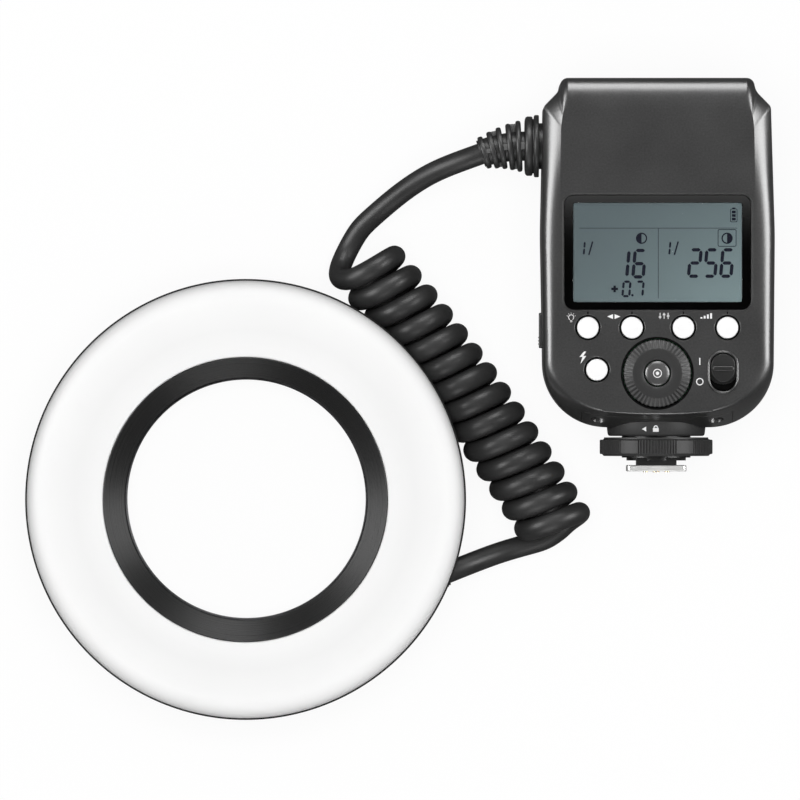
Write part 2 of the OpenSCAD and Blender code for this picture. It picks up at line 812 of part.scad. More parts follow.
// Cord
module cord_upper() {
    color(rubber) tube(upper_points, cord_d / 2, cord_sides, boot_dir, upper_joint_way);
}
module cord_curls() {
    color(rubber) tube(curl_points, cord_d / 2, curl_sides, upper_joint_way, lower_joint_way);
}
module cord_lower() {
    color(rubber) tube(lower_points, cord_d / 2, cord_sides, lower_joint_way, -gland_dir);
}
// Places a solid along the bent axis of the strain relief, a share u of the way to its tip
module on_boot(u) {
    translate([boot_start, boot_y - boot_turn_r, boot_z]) rotate([0, 0, boot_bend * u])
        translate([0, boot_turn_r, 0]) rotate([0, -90, 0]) children();
}
module cable_boot() {
    pitch = boot_turn_r * boot_bend * PI / 180 / boot_ribs;
    rib = pitch * 0.62;
    slope = (boot_r - boot_tip_r) / boot_ribs;
    color(rubber) on_unit() {
        translate([boot_seat, boot_y, boot_z]) rotate([0, 90, 0]) cylinder(h = 2, r = boot_hole_r + 1.4);
        translate([boot_seat + 1, boot_y, boot_z]) rotate([0, -90, 0])
            cylinder(h = boot_seat + 1 - boot_base + 3, r = boot_hole_r - set_gap);
        translate([boot_base - 0.2, boot_y, boot_z]) rotate([0, -90, 0]) cylinder(h = 1.8, r = boot_disc[0]);
        translate([boot_base - 2.3, boot_y, boot_z]) rotate([0, -90, 0]) cylinder(h = 2.3, r = boot_disc[1]);
        translate([boot_start, boot_y - boot_turn_r, boot_z]) rotate([0, 0, 90])
            rotate_extrude(angle = boot_bend) translate([boot_turn_r, 0]) circle(boot_core_r);
        for (k = [0:boot_ribs - 1]) {
            on_boot((k + 0.38) / boot_ribs)
                cylinder(h = rib, r1 = boot_r - slope * k, r2 = boot_r - slope * (k + 0.8));
            on_boot(k / boot_ribs) for (side = [-1, 1]) rotate([0, 0, k % 2 * 90])
                translate([side * (boot_r - slope * k - 1.5) - 1.2, -2, -0.6]) cube([2.4, 4, pitch]);
        }
    }
}

// Control unit's housing
module body_solid(d) {
    low = rounded(inset(front_loop, d));
    mid = rounded(inset(mid_loop, d));
    high = rounded(inset(panel_loop, d));
    share = chin_share(mid_loop);
    ring_solid(concat(
        [for (k = [0:front_steps]) front_ring(low, mid, d, k / front_steps)],
        [for (k = [0:top_steps]) top_ring(mid, high, share, d, k / top_steps)]
    ));
}
module below(z) {
    block([-far, -far, -far], [far, far, z]);
}
module above(z) {
    block([-far, -far, z], [far, far, far]);
}
module side_holes() {
    translate([boot_base - 5, boot_y, boot_z]) rotate([0, 90, 0])
        cylinder(h = 5 + 2 * unit_wall, r = boot_hole_r);
    block(
        [-bracket_w / 2 - set_gap, -far, bracket_z[0] - set_gap],
        [bracket_w / 2 + set_gap, bracket_y + set_gap, bracket_z[1] + set_gap]
    );
}
module panel_holes() {
    translate([0, window_y, unit_d - window_t])
        slab(window_w + 2 * set_gap, window_h + 2 * set_gap, window_round + set_gap, window_t + 1);
    translate([0, window_y, part_z]) slab(view_w, view_h, 1.5, unit_d);
    for (x = key_x) translate([x, key_y, part_z]) cylinder(h = unit_d, r = key_r + cap_gap);
    translate([test_at[0], test_at[1], part_z]) cylinder(h = unit_d, r = key_r + cap_gap);
    translate([dial_at[0], dial_at[1], part_z]) cylinder(h = unit_d, r = dial_r + move_gap);
    translate([power_at[0], power_at[1], part_z]) slab(slot_w, slot_l, slot_w * 0.49, unit_d);
}
module power_rim() {
    translate([power_at[0], power_at[1], unit_d - 0.3]) difference() {
        slab(slot_w + 1.6, slot_l + 1.6, slot_w * 0.49 + 0.8, 0.9);
        translate([0, 0, -1]) slab(slot_w, slot_l, slot_w * 0.49, 3);
    }
}
module rear_housing() {
    color(charcoal) on_unit() {
        difference() {
            body_solid(0);
            body_solid(unit_wall);
            below(part_z);
            side_holes();
            panel_holes();
            block([-far, port_y - port_w / 2 + 0.9, port_z - port_h / 2 + 0.9],
                [-side_x + 2 * unit_wall, port_y + port_w / 2 - 1.9, port_z + port_h / 2 - 0.9]);
        }
        power_rim();
        for (at = control_posts) translate([at[0], at[1], board_top])
            cylinder(h = inner_z - board_top + 0.5, r = post_in_r);
        for (at = case_screws) translate([at[0], at[1], part_z])
            cylinder(h = inner_z - part_z + 0.3, r = case_post_r);
    }
}
module front_housing() {
    color(charcoal) on_unit() difference() {
        union() {
            difference() {
                body_solid(0);
                body_solid(unit_wall);
                above(part_z);
                side_holes();
                block(
                    [battery_out - 1, battery_y - battery_h / 2 - 0.8 - move_gap, battery_z - 0.6 - move_gap],
                    [far, battery_y + battery_h / 2 + 0.8 + move_gap, battery_z + battery_t + 0.6 + move_gap]
                );
            }
            for (at = power_posts) translate([at[0], at[1], unit_wall - 0.5])
                cylinder(h = power_z - unit_wall + 0.5, r = post_in_r + 0.5);
            for (at = case_screws) translate([at[0], at[1], unit_wall - 0.5])
                cylinder(h = part_z - unit_wall + 0.5, r = case_post_r);
            for (x = cradle_x) difference() {
                block([x - 0.8, capacitor_at[1] - capacitor_r - 1, unit_wall - 0.5],
                    [x + 0.8, capacitor_at[1] + capacitor_r + 1, capacitor_at[2]]);
                translate([x - 2, capacitor_at[1], capacitor_at[2]]) rotate([0, 90, 0])
                    cylinder(h = 4, r = capacitor_r + set_gap);
            }
        }
        for (at = case_screws) translate([at[0], at[1], -1]) {
            cylinder(h = 1 + 1.5, r = screw_head_r + set_gap);
            cylinder(h = far, r = screw_r + set_gap);
        }
        translate([0, capacitor_at[1], -1])
            slab(sensor_w + 2 * set_gap, sensor_h + 2 * set_gap, sensor_round, 2.4);
        translate([0, capacitor_at[1], -1]) slab(sensor_w - 4, sensor_h - 4, sensor_round - 1, 5);
    }
}
module sensor_window() {
    color([0.25, 0.05, 0.05]) on_unit() translate([0, capacitor_at[1], 0.4])
        slab(sensor_w, sensor_h, sensor_round, 1);
}
module case_screws_set() {
    color(metal) on_unit() for (at = case_screws) translate([at[0], at[1], 1.5 - screw_head_t])
        screw(screw_head_r, screw_head_t, screw_r, part_z - 4);
}

// Control panel
module lcd_window() {
    color(glass) on_unit() translate([0, window_y, unit_d - window_t])
        slab(window_w, window_h, window_round, window_t);
}
module lcd_panel() {
    color(glass) on_unit() translate([0, window_y, inner_z - 1.9]) slab(view_w - 0.6, view_h - 0.4, 0.8, 1.9);
}
module lcd_holder() {
    color(white) on_unit() translate([0, window_y, board_top])
        slab(view_w + 3, view_h + 2.4, 1, inner_z - 1.9 - board_top);
}
module press_key(at, r) {
    color(white) on_unit() translate([at[0], at[1], 0]) {
        translate([0, 0, inner_z - 0.6]) cylinder(h = unit_d + key_proud - 0.5 - inner_z + 0.6, r = r);
        translate([0, 0, unit_d + key_proud - 0.5]) cylinder(h = 0.5, r1 = r, r2 = r - 0.5);
        translate([0, 0, inner_z - set_gap - collar_t]) cylinder(h = collar_t, r = r + 0.7);
        translate([0, 0, stem_z]) cylinder(h = inner_z - 0.5 - stem_z, r = 1.4);
    }
}
module key_1() {
    press_key([key_x[0], key_y], key_r);
}
module key_2() {
    press_key([key_x[1], key_y], key_r);
}
module key_3() {
    press_key([key_x[2], key_y], key_r);
}
module key_4() {
    press_key([key_x[3], key_y], key_r);
}
module test_key() {
    press_key(test_at, key_r);
}
module set_key() {
    color(black) on_unit() translate([dial_at[0], dial_at[1], 0]) {
        translate([0, 0, inner_z - 0.8]) cylinder(h = 4, r = set_r);
        translate([0, 0, inner_z + 3.2]) cylinder(h = 0.6, r1 = set_r, r2 = set_r - 1.2);
        translate([0, 0, stem_z]) cylinder(h = inner_z - stem_z, r = 1.6);
    }
}
module dial() {
    bore = set_r + move_gap;
    low = inner_z - 0.9;
    shoulder = unit_d + 0.3;
    color(black) on_unit() translate([dial_at[0], dial_at[1], 0]) difference() {
        turned([
            [bore, encoder_z + set_gap],
            [encoder_bore + 2, encoder_z + set_gap],
            [encoder_bore + 2, low],
            [dial_r, low],
            [dial_r, shoulder],
            [dial_r - 2.6, shoulder + 1],
            [bore + 1.2, shoulder + 1],
            [bore, shoulder + 0.3]
        ]);
        for (k = [0:dial_grips - 1]) rotate([0, 0, 360 * k / dial_grips])
            block([dial_r - 0.35, -0.3, low - 1], [dial_r + 1, 0.3, shoulder - 0.1]);
    }
}
module encoder() {
    color(metal) on_unit() translate([dial_at[0], dial_at[1], board_top]) difference() {
        cylinder(h = encoder_z - board_top, r = encoder_bore + 2.8);
        translate([0, 0, -1]) cylinder(h = far, r = encoder_bore);
    }
}
module power_knob() {
    color(black) on_unit() translate([power_at[0], knob_y, 0]) {
        translate([0, 0, inner_z - set_gap - 1]) slab(knob_w + 1.6, knob_l + 1.6, knob_w * 0.49 + 0.7, 1);
        translate([0, 0, inner_z - 0.5]) slab(knob_w, knob_l, knob_w * 0.49, unit_d + 0.1 - inner_z + 0.5);
        translate([0, 0, unit_d]) slab(knob_w - 1.2, 1.6, 0.6, 0.9);
    }
}
module slide_switch() {
    color(metal) on_unit() translate([power_at[0], power_at[1], board_top]) slab(6, 9, 0.5, 3.4);
}
module key_switches() {
    spots = concat([for (x = key_x) [x, key_y]], [test_at, dial_at]);
    color(metal) on_unit() for (at = spots) translate([at[0], at[1], board_top]) {
        translate([-2.4, -2.4, 0]) cube([4.8, 4.8, switch_t - 0.6]);
        cylinder(h = switch_t, r = 1.2);
    }
}
module control_board() {
    color(green) on_unit() difference() {
        translate([0, 0, board_z]) linear_extrude(board_t) polygon(rounded([
            [side_x - 4.4, control_low, 15, 6],
            [side_x - 4.4, control_high, 2, 4],
            [-side_x + 4.4, control_high, 2, 4],
            [-side_x + 4.4, control_low, 15, 6]
        ]));
        for (at = control_posts) translate([at[0], at[1], board_z - 1]) cylinder(h = far, r = 0.9);
        for (at = case_screws) translate([at[0], at[1], board_z - 1])
            cylinder(h = far, r = case_post_r + 0.4);
    }
}
module power_board() {
    color(green) on_unit() {
        difference() {
            translate([0, 0, power_z]) linear_extrude(board_t) polygon(rounded([
                [side_x - 4.6, power_low, 13, 6],
                [side_x - 4.6, power_high, 3, 4],
                [-side_x + 4.6, power_high, 3, 4],
                [-side_x + 4.6, power_low, 13, 6]
            ]));
            for (at = power_posts) translate([at[0], at[1], power_z - 1]) cylinder(h = far, r = 0.9);
            for (at = case_screws) translate([at[0], at[1], power_z - 1])
                cylinder(h = far, r = case_post_r + 0.4);
            block([-far, boot_y - 10, power_z - 1], [boot_base + unit_wall + 4, boot_y + 10, far]);
        }
        translate([-10, 46, power_top - 0.2]) cube([20, 4, board_z - power_top + 0.2]);
    }
}
module board_screws() {
    color(metal) on_unit() {
        for (at = control_posts) translate([at[0], at[1], board_z - 0.8])
            screw(1.7, 0.8, 0.85, board_t + 0.8);
        for (at = power_posts) translate([at[0], at[1], power_top + 0.8]) mirror([0, 0, 1])
            screw(1.7, 0.8, 0.85, board_t + 0.8);
    }
}
module capacitor() {
    color(black) on_unit() translate(capacitor_at) rotate([0, 90, 0]) {
        cylinder(h = capacitor_l, r = capacitor_r);
        for (side = [-1, 1]) translate([side * 3.5, 0, capacitor_l - 0.5]) cylinder(h = 4, r = 0.8);
    }
}
module transformer() {
    color([0.6, 0.5, 0.2]) on_unit() translate([2, power_high - 16, power_top]) {
        cube([18, 15, 2]);
        translate([2, 0.5, 1.5]) cube([14, 14, 6.5]);
    }
}
module port_socket() {
    color(metal) on_unit() difference() {
        block(
            [-side_x + unit_wall + 0.6, port_y - 5.5, power_top],
            [-side_x + unit_wall + 8, port_y + 3.6, power_top + 3.3]
        );
        block(
            [-side_x, port_y - 4.8, power_top + 0.4],
            [-side_x + unit_wall + 7, port_y + 2.9, power_top + 2.9]
        );
    }
}
module port_cover() {
    out = -side_x - 0.05;
    color(rubber) on_unit() {
        block(
            [out - flap_t, port_y - port_w / 2, port_z - port_h / 2],
            [out, port_y + port_w / 2 - flap_t / 2, port_z + port_h / 2]
        );
        translate([out - flap_t / 2, port_y + port_w / 2 - flap_t / 2, port_z - port_h / 2])
            cylinder(h = port_h, r = flap_t / 2);
        block(
            [out - 0.3, port_y - port_w / 2 + 1.3, port_z - port_h / 2 + 1.3],
            [-side_x + 1.2, port_y + port_w / 2 - 2.4, port_z + port_h / 2 - 1.3]
        );
    }
}

// Battery
module battery_room(grow, from, to) {
    block([from, battery_y - battery_h / 2 - grow, battery_z - grow],
        [to, battery_y + battery_h / 2 + grow, battery_z + battery_t + grow]);
}
module battery_sleeve() {
    color(black) on_unit() difference() {
        intersection() {
            battery_room(move_gap + sleeve_wall, sleeve_in, battery_out - 1.2);
            body_solid(unit_wall + set_gap);
        }
        battery_room(move_gap, sleeve_in + sleeve_wall, far);
    }
}
module battery_contacts() {
    color(metal) on_unit() for (k = [-1.5:1:1.5])
        translate([sleeve_in + sleeve_wall, battery_y + k * 6 - 1.25, battery_z + battery_t / 2 - 4])
            cube([0.9, 2.5, 8]);
}
module battery_pack() {
    color(black) on_unit() translate([battery_in, battery_y, battery_z + battery_t / 2]) rotate([90, 0, 90])
        slab(battery_h, battery_t, 2, battery_out - battery_in);
}
module battery_cap() {
    color(charcoal) on_unit() difference() {
        intersection() {
            body_solid(-0.6);
            battery_room(0.6, battery_out, far);
        }
        block(
            [side_x - 1.2, battery_y - 9.5, battery_z + 4.5],
            [far, battery_y + 9.5, battery_z + battery_t - 4.5]
        );
    }
}
module battery_release() {
    color(black) on_unit() {
        block([side_x - 1.2 + 0.05, battery_y - 9.2 + 3, battery_z + 4.8],
            [side_x + 0.1, battery_y + 9.2, battery_z + battery_t - 4.8]);
        for (k = [0:4]) block([side_x, battery_y - 4 + k * 2.4, battery_z + 6],
            [side_x + 0.5, battery_y - 3 + k * 2.4, battery_z + battery_t - 6]);
    }
}

// Foot
module foot_bracket() {
    color(charcoal) on_unit() difference() {
        intersection() {
            body_solid(0);
            block([-bracket_w / 2, -far, bracket_z[0]], [bracket_w / 2, bracket_y, bracket_z[1]]);
        }
        down_foot(collar_y) cylinder(h = 9, r = foot_collar_r + set_gap);
        down_foot(bracket_y + 1) cylinder(h = 20, r = stem_r + set_gap);
        for (x = bracket_screws) translate([x, 0, bracket_screw_z]) rotate([90, 0, 0]) {
            translate([0, 0, -3.6]) cylinder(h = 9, r = screw_head_r + set_gap);
            translate([0, 0, -9]) cylinder(h = 9, r = screw_r + set_gap);
        }
    }
}
module bracket_screws_set() {
    color(metal) on_unit() for (x = bracket_screws)
        translate([x, 3.6 - screw_head_t, bracket_screw_z]) rotate([-90, 0, 0])
            screw(screw_head_r, screw_head_t, screw_r, 2);
}
module foot_collar() {
    color(black) on_unit() down_foot(collar_y) difference() {
        union() {
            cylinder(h = foot_collar_l - 0.5, r1 = foot_collar_r, r2 = foot_collar_r - 0.4);
            translate([0, 0, foot_collar_l - 0.5])
                cylinder(h = 0.5, r1 = foot_collar_r - 0.4, r2 = foot_collar_r - 0.9);
        }
        translate([0, 0, -1]) cylinder(h = 9, r = stem_r + set_gap);
    }
}
module foot_stem() {
    color(black) on_unit() difference() {
        union() {
            down_foot(bracket_y) cylinder(h = bracket_y - stem_end, r = stem_r);
            down_foot(stem_end + 0.5) cylinder(h = 0.5 + stem_boss_l, r = shoe_w / 2);
            block(
                [-neck_w / 2, shoe_y, foot_z - neck_l / 2],
                [neck_w / 2, stem_end + 0.5, foot_z + neck_l / 2]
            );
            block(
                [-tongue_w / 2, shoe_bottom, foot_z - tongue_l / 2],
                [tongue_w / 2, shoe_y + 0.5, foot_z + tongue_l / 2]
            );
        }
        translate([0, bracket_y + 1, pin_z]) rotate([90, 0, 0]) cylinder(h = far, r = pin_r + run_fit);
        translate([0, shoe_y + 0.9, foot_z]) rotate([90, 0, 0]) cylinder(h = 9, r = contact_r + run_fit);
        for (at = contact_at) translate([at[0], shoe_y + 0.9, foot_z + at[1]]) rotate([90, 0, 0])
            cylinder(h = 9, r = contact_small_r + run_fit);
    }
}
// Outline of the lock ring: six knurled arcs with smooth ones between
function knurl(r) = [
    for (k = [0:179])
        (r - ((k * 2 + 18) % 60 < 37 && k % 2 == 1 ? 0.5 : 0)) * [cos(k * 2 + 90), sin(k * 2 + 90)]
];
module lock_ring() {
    color(charcoal) on_unit() down_foot(ring_y) difference() {
        union() {
            linear_extrude(ring_t - 0.6) polygon(knurl(ring_r));
            translate([0, 0, ring_t - 0.7]) cylinder(h = 0.7, r1 = ring_r - 0.5, r2 = ring_r - 1.2);
            translate([0, 0, -0.6]) cylinder(h = 0.7, r = ring_r - 1.3);
        }
        translate([0, 0, -2]) cylinder(h = far, r = stem_r + run_fit);
    }
}
module lock_pin() {
    color(metal) on_unit() translate([0, 3, pin_z]) rotate([90, 0, 0])
        cylinder(h = 3 - shoe_bottom - 0.1, r = pin_r);
}
module shoe_plate() {
    color(metal) on_unit() down_foot(shoe_y) difference() {
        slab(shoe_w, shoe_l, 1.2, shoe_t);
        translate([0, 0, -1]) slab(tongue_w + 2 * set_gap, tongue_l + 2 * set_gap, 0.3, 9);
        translate([0, pin_z - foot_z, -1]) cylinder(h = 9, r = pin_r + run_fit);
    }
}
module contact_pins() {
    color(metal) on_unit() {
        translate([0, shoe_y + 0.3, foot_z]) rotate([90, 0, 0])
            cylinder(h = shoe_y + 0.3 - shoe_bottom + contact_proud, r = contact_r);
        for (at = contact_at) translate([at[0], shoe_y + 0.3, foot_z + at[1]]) rotate([90, 0, 0])
            cylinder(h = shoe_y + 0.3 - shoe_bottom + contact_proud, r = contact_small_r);
    }
}

head_housing();
funnel();
diffuser();
reflector();
lamp_carrier();
flash_tube_a();
flash_tube_b();
tube_electrodes();
tube_grommets();
lamp_boards();
head_board();
head_screws();
adapter_ring();
latch_top();
latch_bottom();
latch_spring_top();
latch_spring_bottom();
head_gland();
cord_lower();
cord_curls();
cord_upper();
cable_boot();
rear_housing();
front_housing();
lcd_window();
lcd_panel();
lcd_holder();
key_1();
key_2();
key_3();
key_4();
test_key();
set_key();
dial();
encoder();
power_knob();
slide_switch();
key_switches();
control_board();
power_board();
board_screws();
capacitor();
transformer();
port_socket();
port_cover();
battery_sleeve();
battery_contacts();
battery_pack();
battery_cap();
battery_release();
case_screws_set();
sensor_window();
foot_bracket();
bracket_screws_set();
foot_collar();
foot_stem();
lock_ring();
lock_pin();
shoe_plate();
contact_pins();
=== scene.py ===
import math
import bpy
from mathutils import Matrix, Vector


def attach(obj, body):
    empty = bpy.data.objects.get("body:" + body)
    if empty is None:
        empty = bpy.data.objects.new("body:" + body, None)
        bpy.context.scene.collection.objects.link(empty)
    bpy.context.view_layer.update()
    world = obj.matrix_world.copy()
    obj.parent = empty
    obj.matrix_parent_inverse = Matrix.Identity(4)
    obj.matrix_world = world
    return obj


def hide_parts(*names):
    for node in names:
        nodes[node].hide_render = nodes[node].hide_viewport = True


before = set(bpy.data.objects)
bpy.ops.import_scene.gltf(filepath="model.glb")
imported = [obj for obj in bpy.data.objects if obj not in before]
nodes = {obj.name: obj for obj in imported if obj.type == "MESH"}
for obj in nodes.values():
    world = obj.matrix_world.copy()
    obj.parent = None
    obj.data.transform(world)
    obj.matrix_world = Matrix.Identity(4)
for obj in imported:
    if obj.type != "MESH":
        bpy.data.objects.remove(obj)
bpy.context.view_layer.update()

mm = 0.001
metre = 1000.0  # in millimetres
unitAt = Vector((128.4, 23.6, 0))
onUnit = Matrix.Translation(unitAt)
up = (0, 0, 1)


# camera, straight above

camera = dict(middle=(48.28, 31.1), plane=30.0, width=250.0, distance=4000.0, sensor=36, clip=(0.1, 30))
eye = bpy.data.cameras.new("eye")
eye.sensor_width = camera["sensor"]
eye.lens = camera["sensor"] * camera["distance"] / camera["width"]
eye.clip_start, eye.clip_end = camera["clip"]
eyeObject = bpy.data.objects.new("eye", eye)
bpy.context.collection.objects.link(eyeObject)
eyeObject.location = Vector((*camera["middle"], camera["plane"] + camera["distance"])) * mm
bpy.context.scene.camera = eyeObject
bpy.context.scene.view_settings.view_transform = "Standard"


# shader maths

class Wire:
    def __init__(self, tree, socket=None):
        self.tree, self.socket = tree, socket

    def node(self, kind, sockets=None, out=0, stops=None, **settings):
        made = self.tree.nodes.new(kind)
        for key, value in settings.items():
            setattr(made, key, value)
        if stops:
            ramp = made.color_ramp.elements
            while len(ramp) < len(stops):
                ramp.new(0.5)
            for spot, (place, colour) in zip(ramp, stops):
                spot.position, spot.color = place, colour
        for key, value in (sockets or {}).items():
            if isinstance(value, Wire):
                self.tree.links.new(value.socket, made.inputs[key])
            else:
                made.inputs[key].default_value = value
        return Wire(self.tree, made.outputs[out])

    def maths(self, operation, *values):
        return self.node("ShaderNodeMath", dict(enumerate(values)), operation=operation)

    def __add__(self, other):
        return self.maths("ADD", self, other)

    def __radd__(self, other):
        return self.maths("ADD", other, self)

    def __sub__(self, other):
        return self.maths("SUBTRACT", self, other)

    def __rsub__(self, other):
        return self.maths("SUBTRACT", other, self)

    def __mul__(self, other):
        return self.maths("MULTIPLY", self, other)

    def __rmul__(self, other):
        return self.maths("MULTIPLY", other, self)

    def __truediv__(self, other):
        return self.maths("DIVIDE", self, other)

    def __rtruediv__(self, other):
        return self.maths("DIVIDE", other, self)

    def clamp(self, low, high, toLow=0.0, toHigh=1.0):
        return self.node("ShaderNodeMapRange", {0: self, 1: low, 2: high, 3: toLow, 4: toHigh})

    def across(self, low=0.0, high=1.0):  # most of a noise texture lies between 0.3 and 0.7
        return self.clamp(0.3, 0.7, low, high)

    def mixed(self, low, high):
        return self.node("ShaderNodeMix", {0: self, 6: grey(low), 7: grey(high)}, out=2, data_type="RGBA")


def grey(level):
    return (*level, 1.0) if isinstance(level, tuple) else (level, level, level, 1.0)


class Finish:
    def __init__(self, name, **sockets):
        self.material = bpy.data.materials.new(name)
        self.material.use_nodes = True
        tree = self.material.node_tree
        self.shader = tree.nodes["Principled BSDF"]
        self.wire = Wire(tree)
        self.place = self.wire.node("ShaderNodeTexCoord", out="Object")
        for key, value in sockets.items():
            self.set(key, value)

    def set(self, key, value):
        socket = self.shader.inputs[key.replace("_", " ")]
        if isinstance(value, Wire):
            self.wire.tree.links.new(value.socket, socket)
        else:
            socket.default_value = value

    def noise(self, perMm, detail=2.0, rough=0.5, stretch=None):
        where = self.place
        if stretch:
            where = self.wire.node("ShaderNodeMapping", {"Vector": where, "Scale": stretch})
        return self.wire.node("ShaderNodeTexNoise", {
            "Vector": where, "Scale": perMm * metre, "Detail": detail, "Roughness": rough})

    def part(self, axis):
        return self.wire.node("ShaderNodeSeparateXYZ", {0: self.place}, out=axis)

    def bump(self, height, strength, distance):
        return self.wire.node("ShaderNodeBump", {
            "Height": height, "Strength": strength, "Distance": distance * mm})


def mouldedPlastic(name, low, high, rough, grain=3.2, depth=0.02, spread=0.06, specular=0.5):
    made = Finish(name, Specular_IOR_Level=specular)
    speck, cloud = made.noise(grain, 3, 0.6), made.noise(0.06, 2)
    made.set("Base Color", (speck * 0.7 + cloud * 0.3).across().mixed(low, high))
    made.set("Roughness", (speck * 0.5 + cloud * 0.5).across(rough - spread, rough + spread))
    made.set("Normal", made.bump(speck, 0.5, depth))
    return made.material


def metalFinish(name, colour, rough, grain=(0.3, 6, 6), depth=0.004, metal=1.0):
    made = Finish(name, Metallic=metal)
    brush, wear = made.noise(1.2, 4, 0.6, stretch=grain), made.noise(0.15, 3)
    made.set("Base Color", wear.across().mixed(tuple(c * 0.86 for c in colour), colour))
    made.set("Roughness", (brush * 0.6 + wear * 0.4).across(rough - 0.06, rough + 0.08))
    made.set("Normal", made.bump(brush, 0.3, depth))
    return made.material


def rubberFinish(name, low, high, rough, grain=5.0, depth=0.02, specular=0.35):
    made = Finish(name, Specular_IOR_Level=specular)
    pore, cloud = made.noise(grain, 3, 0.65), made.noise(0.12, 2)
    made.set("Base Color", (pore * 0.5 + cloud * 0.5).across().mixed(low, high))
    made.set("Roughness", cloud.across(rough - 0.05, rough + 0.06))
    made.set("Normal", made.bump(pore, 0.45, depth))
    return made.material


def smoothFinish(name, low, high, rough, **sockets):
    made = Finish(name, **sockets)
    cloud = made.noise(0.4, 2)
    made.set("Base Color", cloud.across().mixed(low, high))
    made.set("Roughness", cloud.across(max(rough - 0.02, 0.01), rough + 0.03))
    return made.material


def fromAxis(made):  # millimetres from the head's axis
    x, y = made.part("X"), made.part("Y")
    square = x * x + y * y
    return square.maths("SQRT", square) * metre


def funnelFinish():
    made = Finish("turnedBlack", Anisotropic=0.95, Anisotropic_Rotation=0.25, Specular_IOR_Level=0.27)
    line = made.wire.node("ShaderNodeTexNoise", {"W": fromAxis(made) * 3.1, "Scale": 1.0, "Detail": 2.0},
                          noise_dimensions="1D")
    speck = made.noise(2.5, 2)
    made.set("Base Color", (line * 0.7 + speck * 0.3).across().mixed(0.006, 0.044))
    made.set("Roughness", line.across(0.4, 0.66))
    made.set("Normal", made.bump(line, 1.0, 0.06))
    return made.material


def diffuserPaintedShade(tubeShadeR=53.0, reach=14.0):
    made = Finish("frostedWhiteTubeShade", Specular_IOR_Level=0.15)
    away = fromAxis(made) - tubeShadeR
    cloud, frost = made.noise(0.03, 2), made.noise(6.0, 2, 0.6)
    # darker round the lamp radius, fading out over reach mm: painted shade of the flash tubes behind the
    # diffuser, with random cloud
    shade = away.maths("ABSOLUTE", away).clamp(0.0, reach)
    shadeAndCloud = (shade * 0.6 + cloud * 0.4).clamp(0.2, 0.8)
    made.set("Base Color", shadeAndCloud.mixed((0.86, 0.86, 0.858), (0.93, 0.93, 0.928)))
    made.set("Roughness", frost.across(0.5, 0.6))
    made.set("Normal", made.bump(frost, 0.2, 0.01))
    return made.material


def lcdPaintedShade():
    made = Finish("greyDisplayShaded", Specular_IOR_Level=0.1)
    x = made.part("X").clamp(0.1021, 0.1547)  # over the display, in metres
    y = made.part("Y").clamp(0.0615, 0.0925)
    cloud = made.noise(0.05, 1)
    # lighter towards the right and the bottom of the display: painted shading, with a little random cloud
    shadeAndCloud = (x * 0.55 + (1 - y) * 0.45) * 0.9 + cloud * 0.1
    made.set("Base Color", (shadeAndCloud * shadeAndCloud).mixed((0.138, 0.18, 0.193), (0.304, 0.414, 0.428)))
    made.set("Roughness", cloud.across(0.3, 0.36))
    return made.material


def bezelPaintedSheen():
    made = Finish("bezelGlossSheen")
    # lighter towards the window's upper edge: a painted sheen on the glossy black
    rise = made.part("Y").clamp(0.068, 0.0948)  # up to the window's upper edge, in metres
    cloud = made.noise(0.2, 2)
    made.set("Base Color", (rise * rise * rise * rise * 0.97 + cloud * 0.03).mixed(0.001, 0.042))
    made.set("Roughness", cloud.across(0.08, 0.12))
    return made.material


charcoal = mouldedPlastic("charcoalPlastic", 0.02, 0.039, 0.32, grain=1.7, spread=0.02)
blackPlastic = mouldedPlastic("blackPlastic", 0.011, 0.017, 0.34, grain=4, specular=0.3)
# near-black without a specular part: painted shade for the key wells, dial well, power slot floor and groove
# strokes
grooveShade = smoothFinish("grooveShade", 0.004, 0.007, 0.6, Specular_IOR_Level=0.0)
dialBlack = mouldedPlastic("dialBlack", 0.022, 0.03, 0.42, grain=4, depth=0.01, specular=0.15)
# a lighter copy of the dial's black for its ridges: painted highlight
litRidgeGrey = mouldedPlastic("litRidgeGrey", 0.05, 0.07, 0.42, grain=4, depth=0.01, specular=0.3)
# a lighter copy of the dial's black for the set key: painted light
litSetGrey = mouldedPlastic("litSetGrey", 0.044, 0.058, 0.3, grain=4, depth=0.01)
ringGrey = mouldedPlastic("ringGrey", 0.036, 0.05, 0.45, specular=0.1)
blackRubber = rubberFinish("blackRubber", 0.02, 0.03, 0.42, specular=0.25)
# a lighter copy of the boot rubber for the links between the ribs: painted light
litLinkRubber = rubberFinish("litLinkRubber", 0.07, 0.1, 0.42, specular=0.25)
cordRubber = rubberFinish("cordRubber", 0.026, 0.038, 0.42, grain=3.0, specular=0.14)
turnedBlack = funnelFinish()
frostedWhiteTubeShade = diffuserPaintedShade()
greyDisplayShaded = lcdPaintedShade()
keyWhite = smoothFinish("keyWhite", 0.92, 0.96, 0.35, Specular_IOR_Level=0.2)
inkWhite = smoothFinish("inkWhite", 0.82, 0.9, 0.5, Specular_IOR_Level=0.1)
segmentInk = smoothFinish("segmentInk", (0.018, 0.019, 0.032), (0.024, 0.025, 0.04), 0.5,
                          Specular_IOR_Level=0.0)
bezelGlossSheen = bezelPaintedSheen()
paneClear = smoothFinish("paneClear", 0.01, 0.012, 0.06, Alpha=0.1)
blackAnodised = metalFinish("blackAnodised", (0.06, 0.06, 0.062), 0.4)
shoeMetal = metalFinish("shoeMetal", (0.66, 0.66, 0.65), 0.36, metal=0.3)
screwSteel = metalFinish("screwSteel", (0.6, 0.6, 0.59), 0.32)
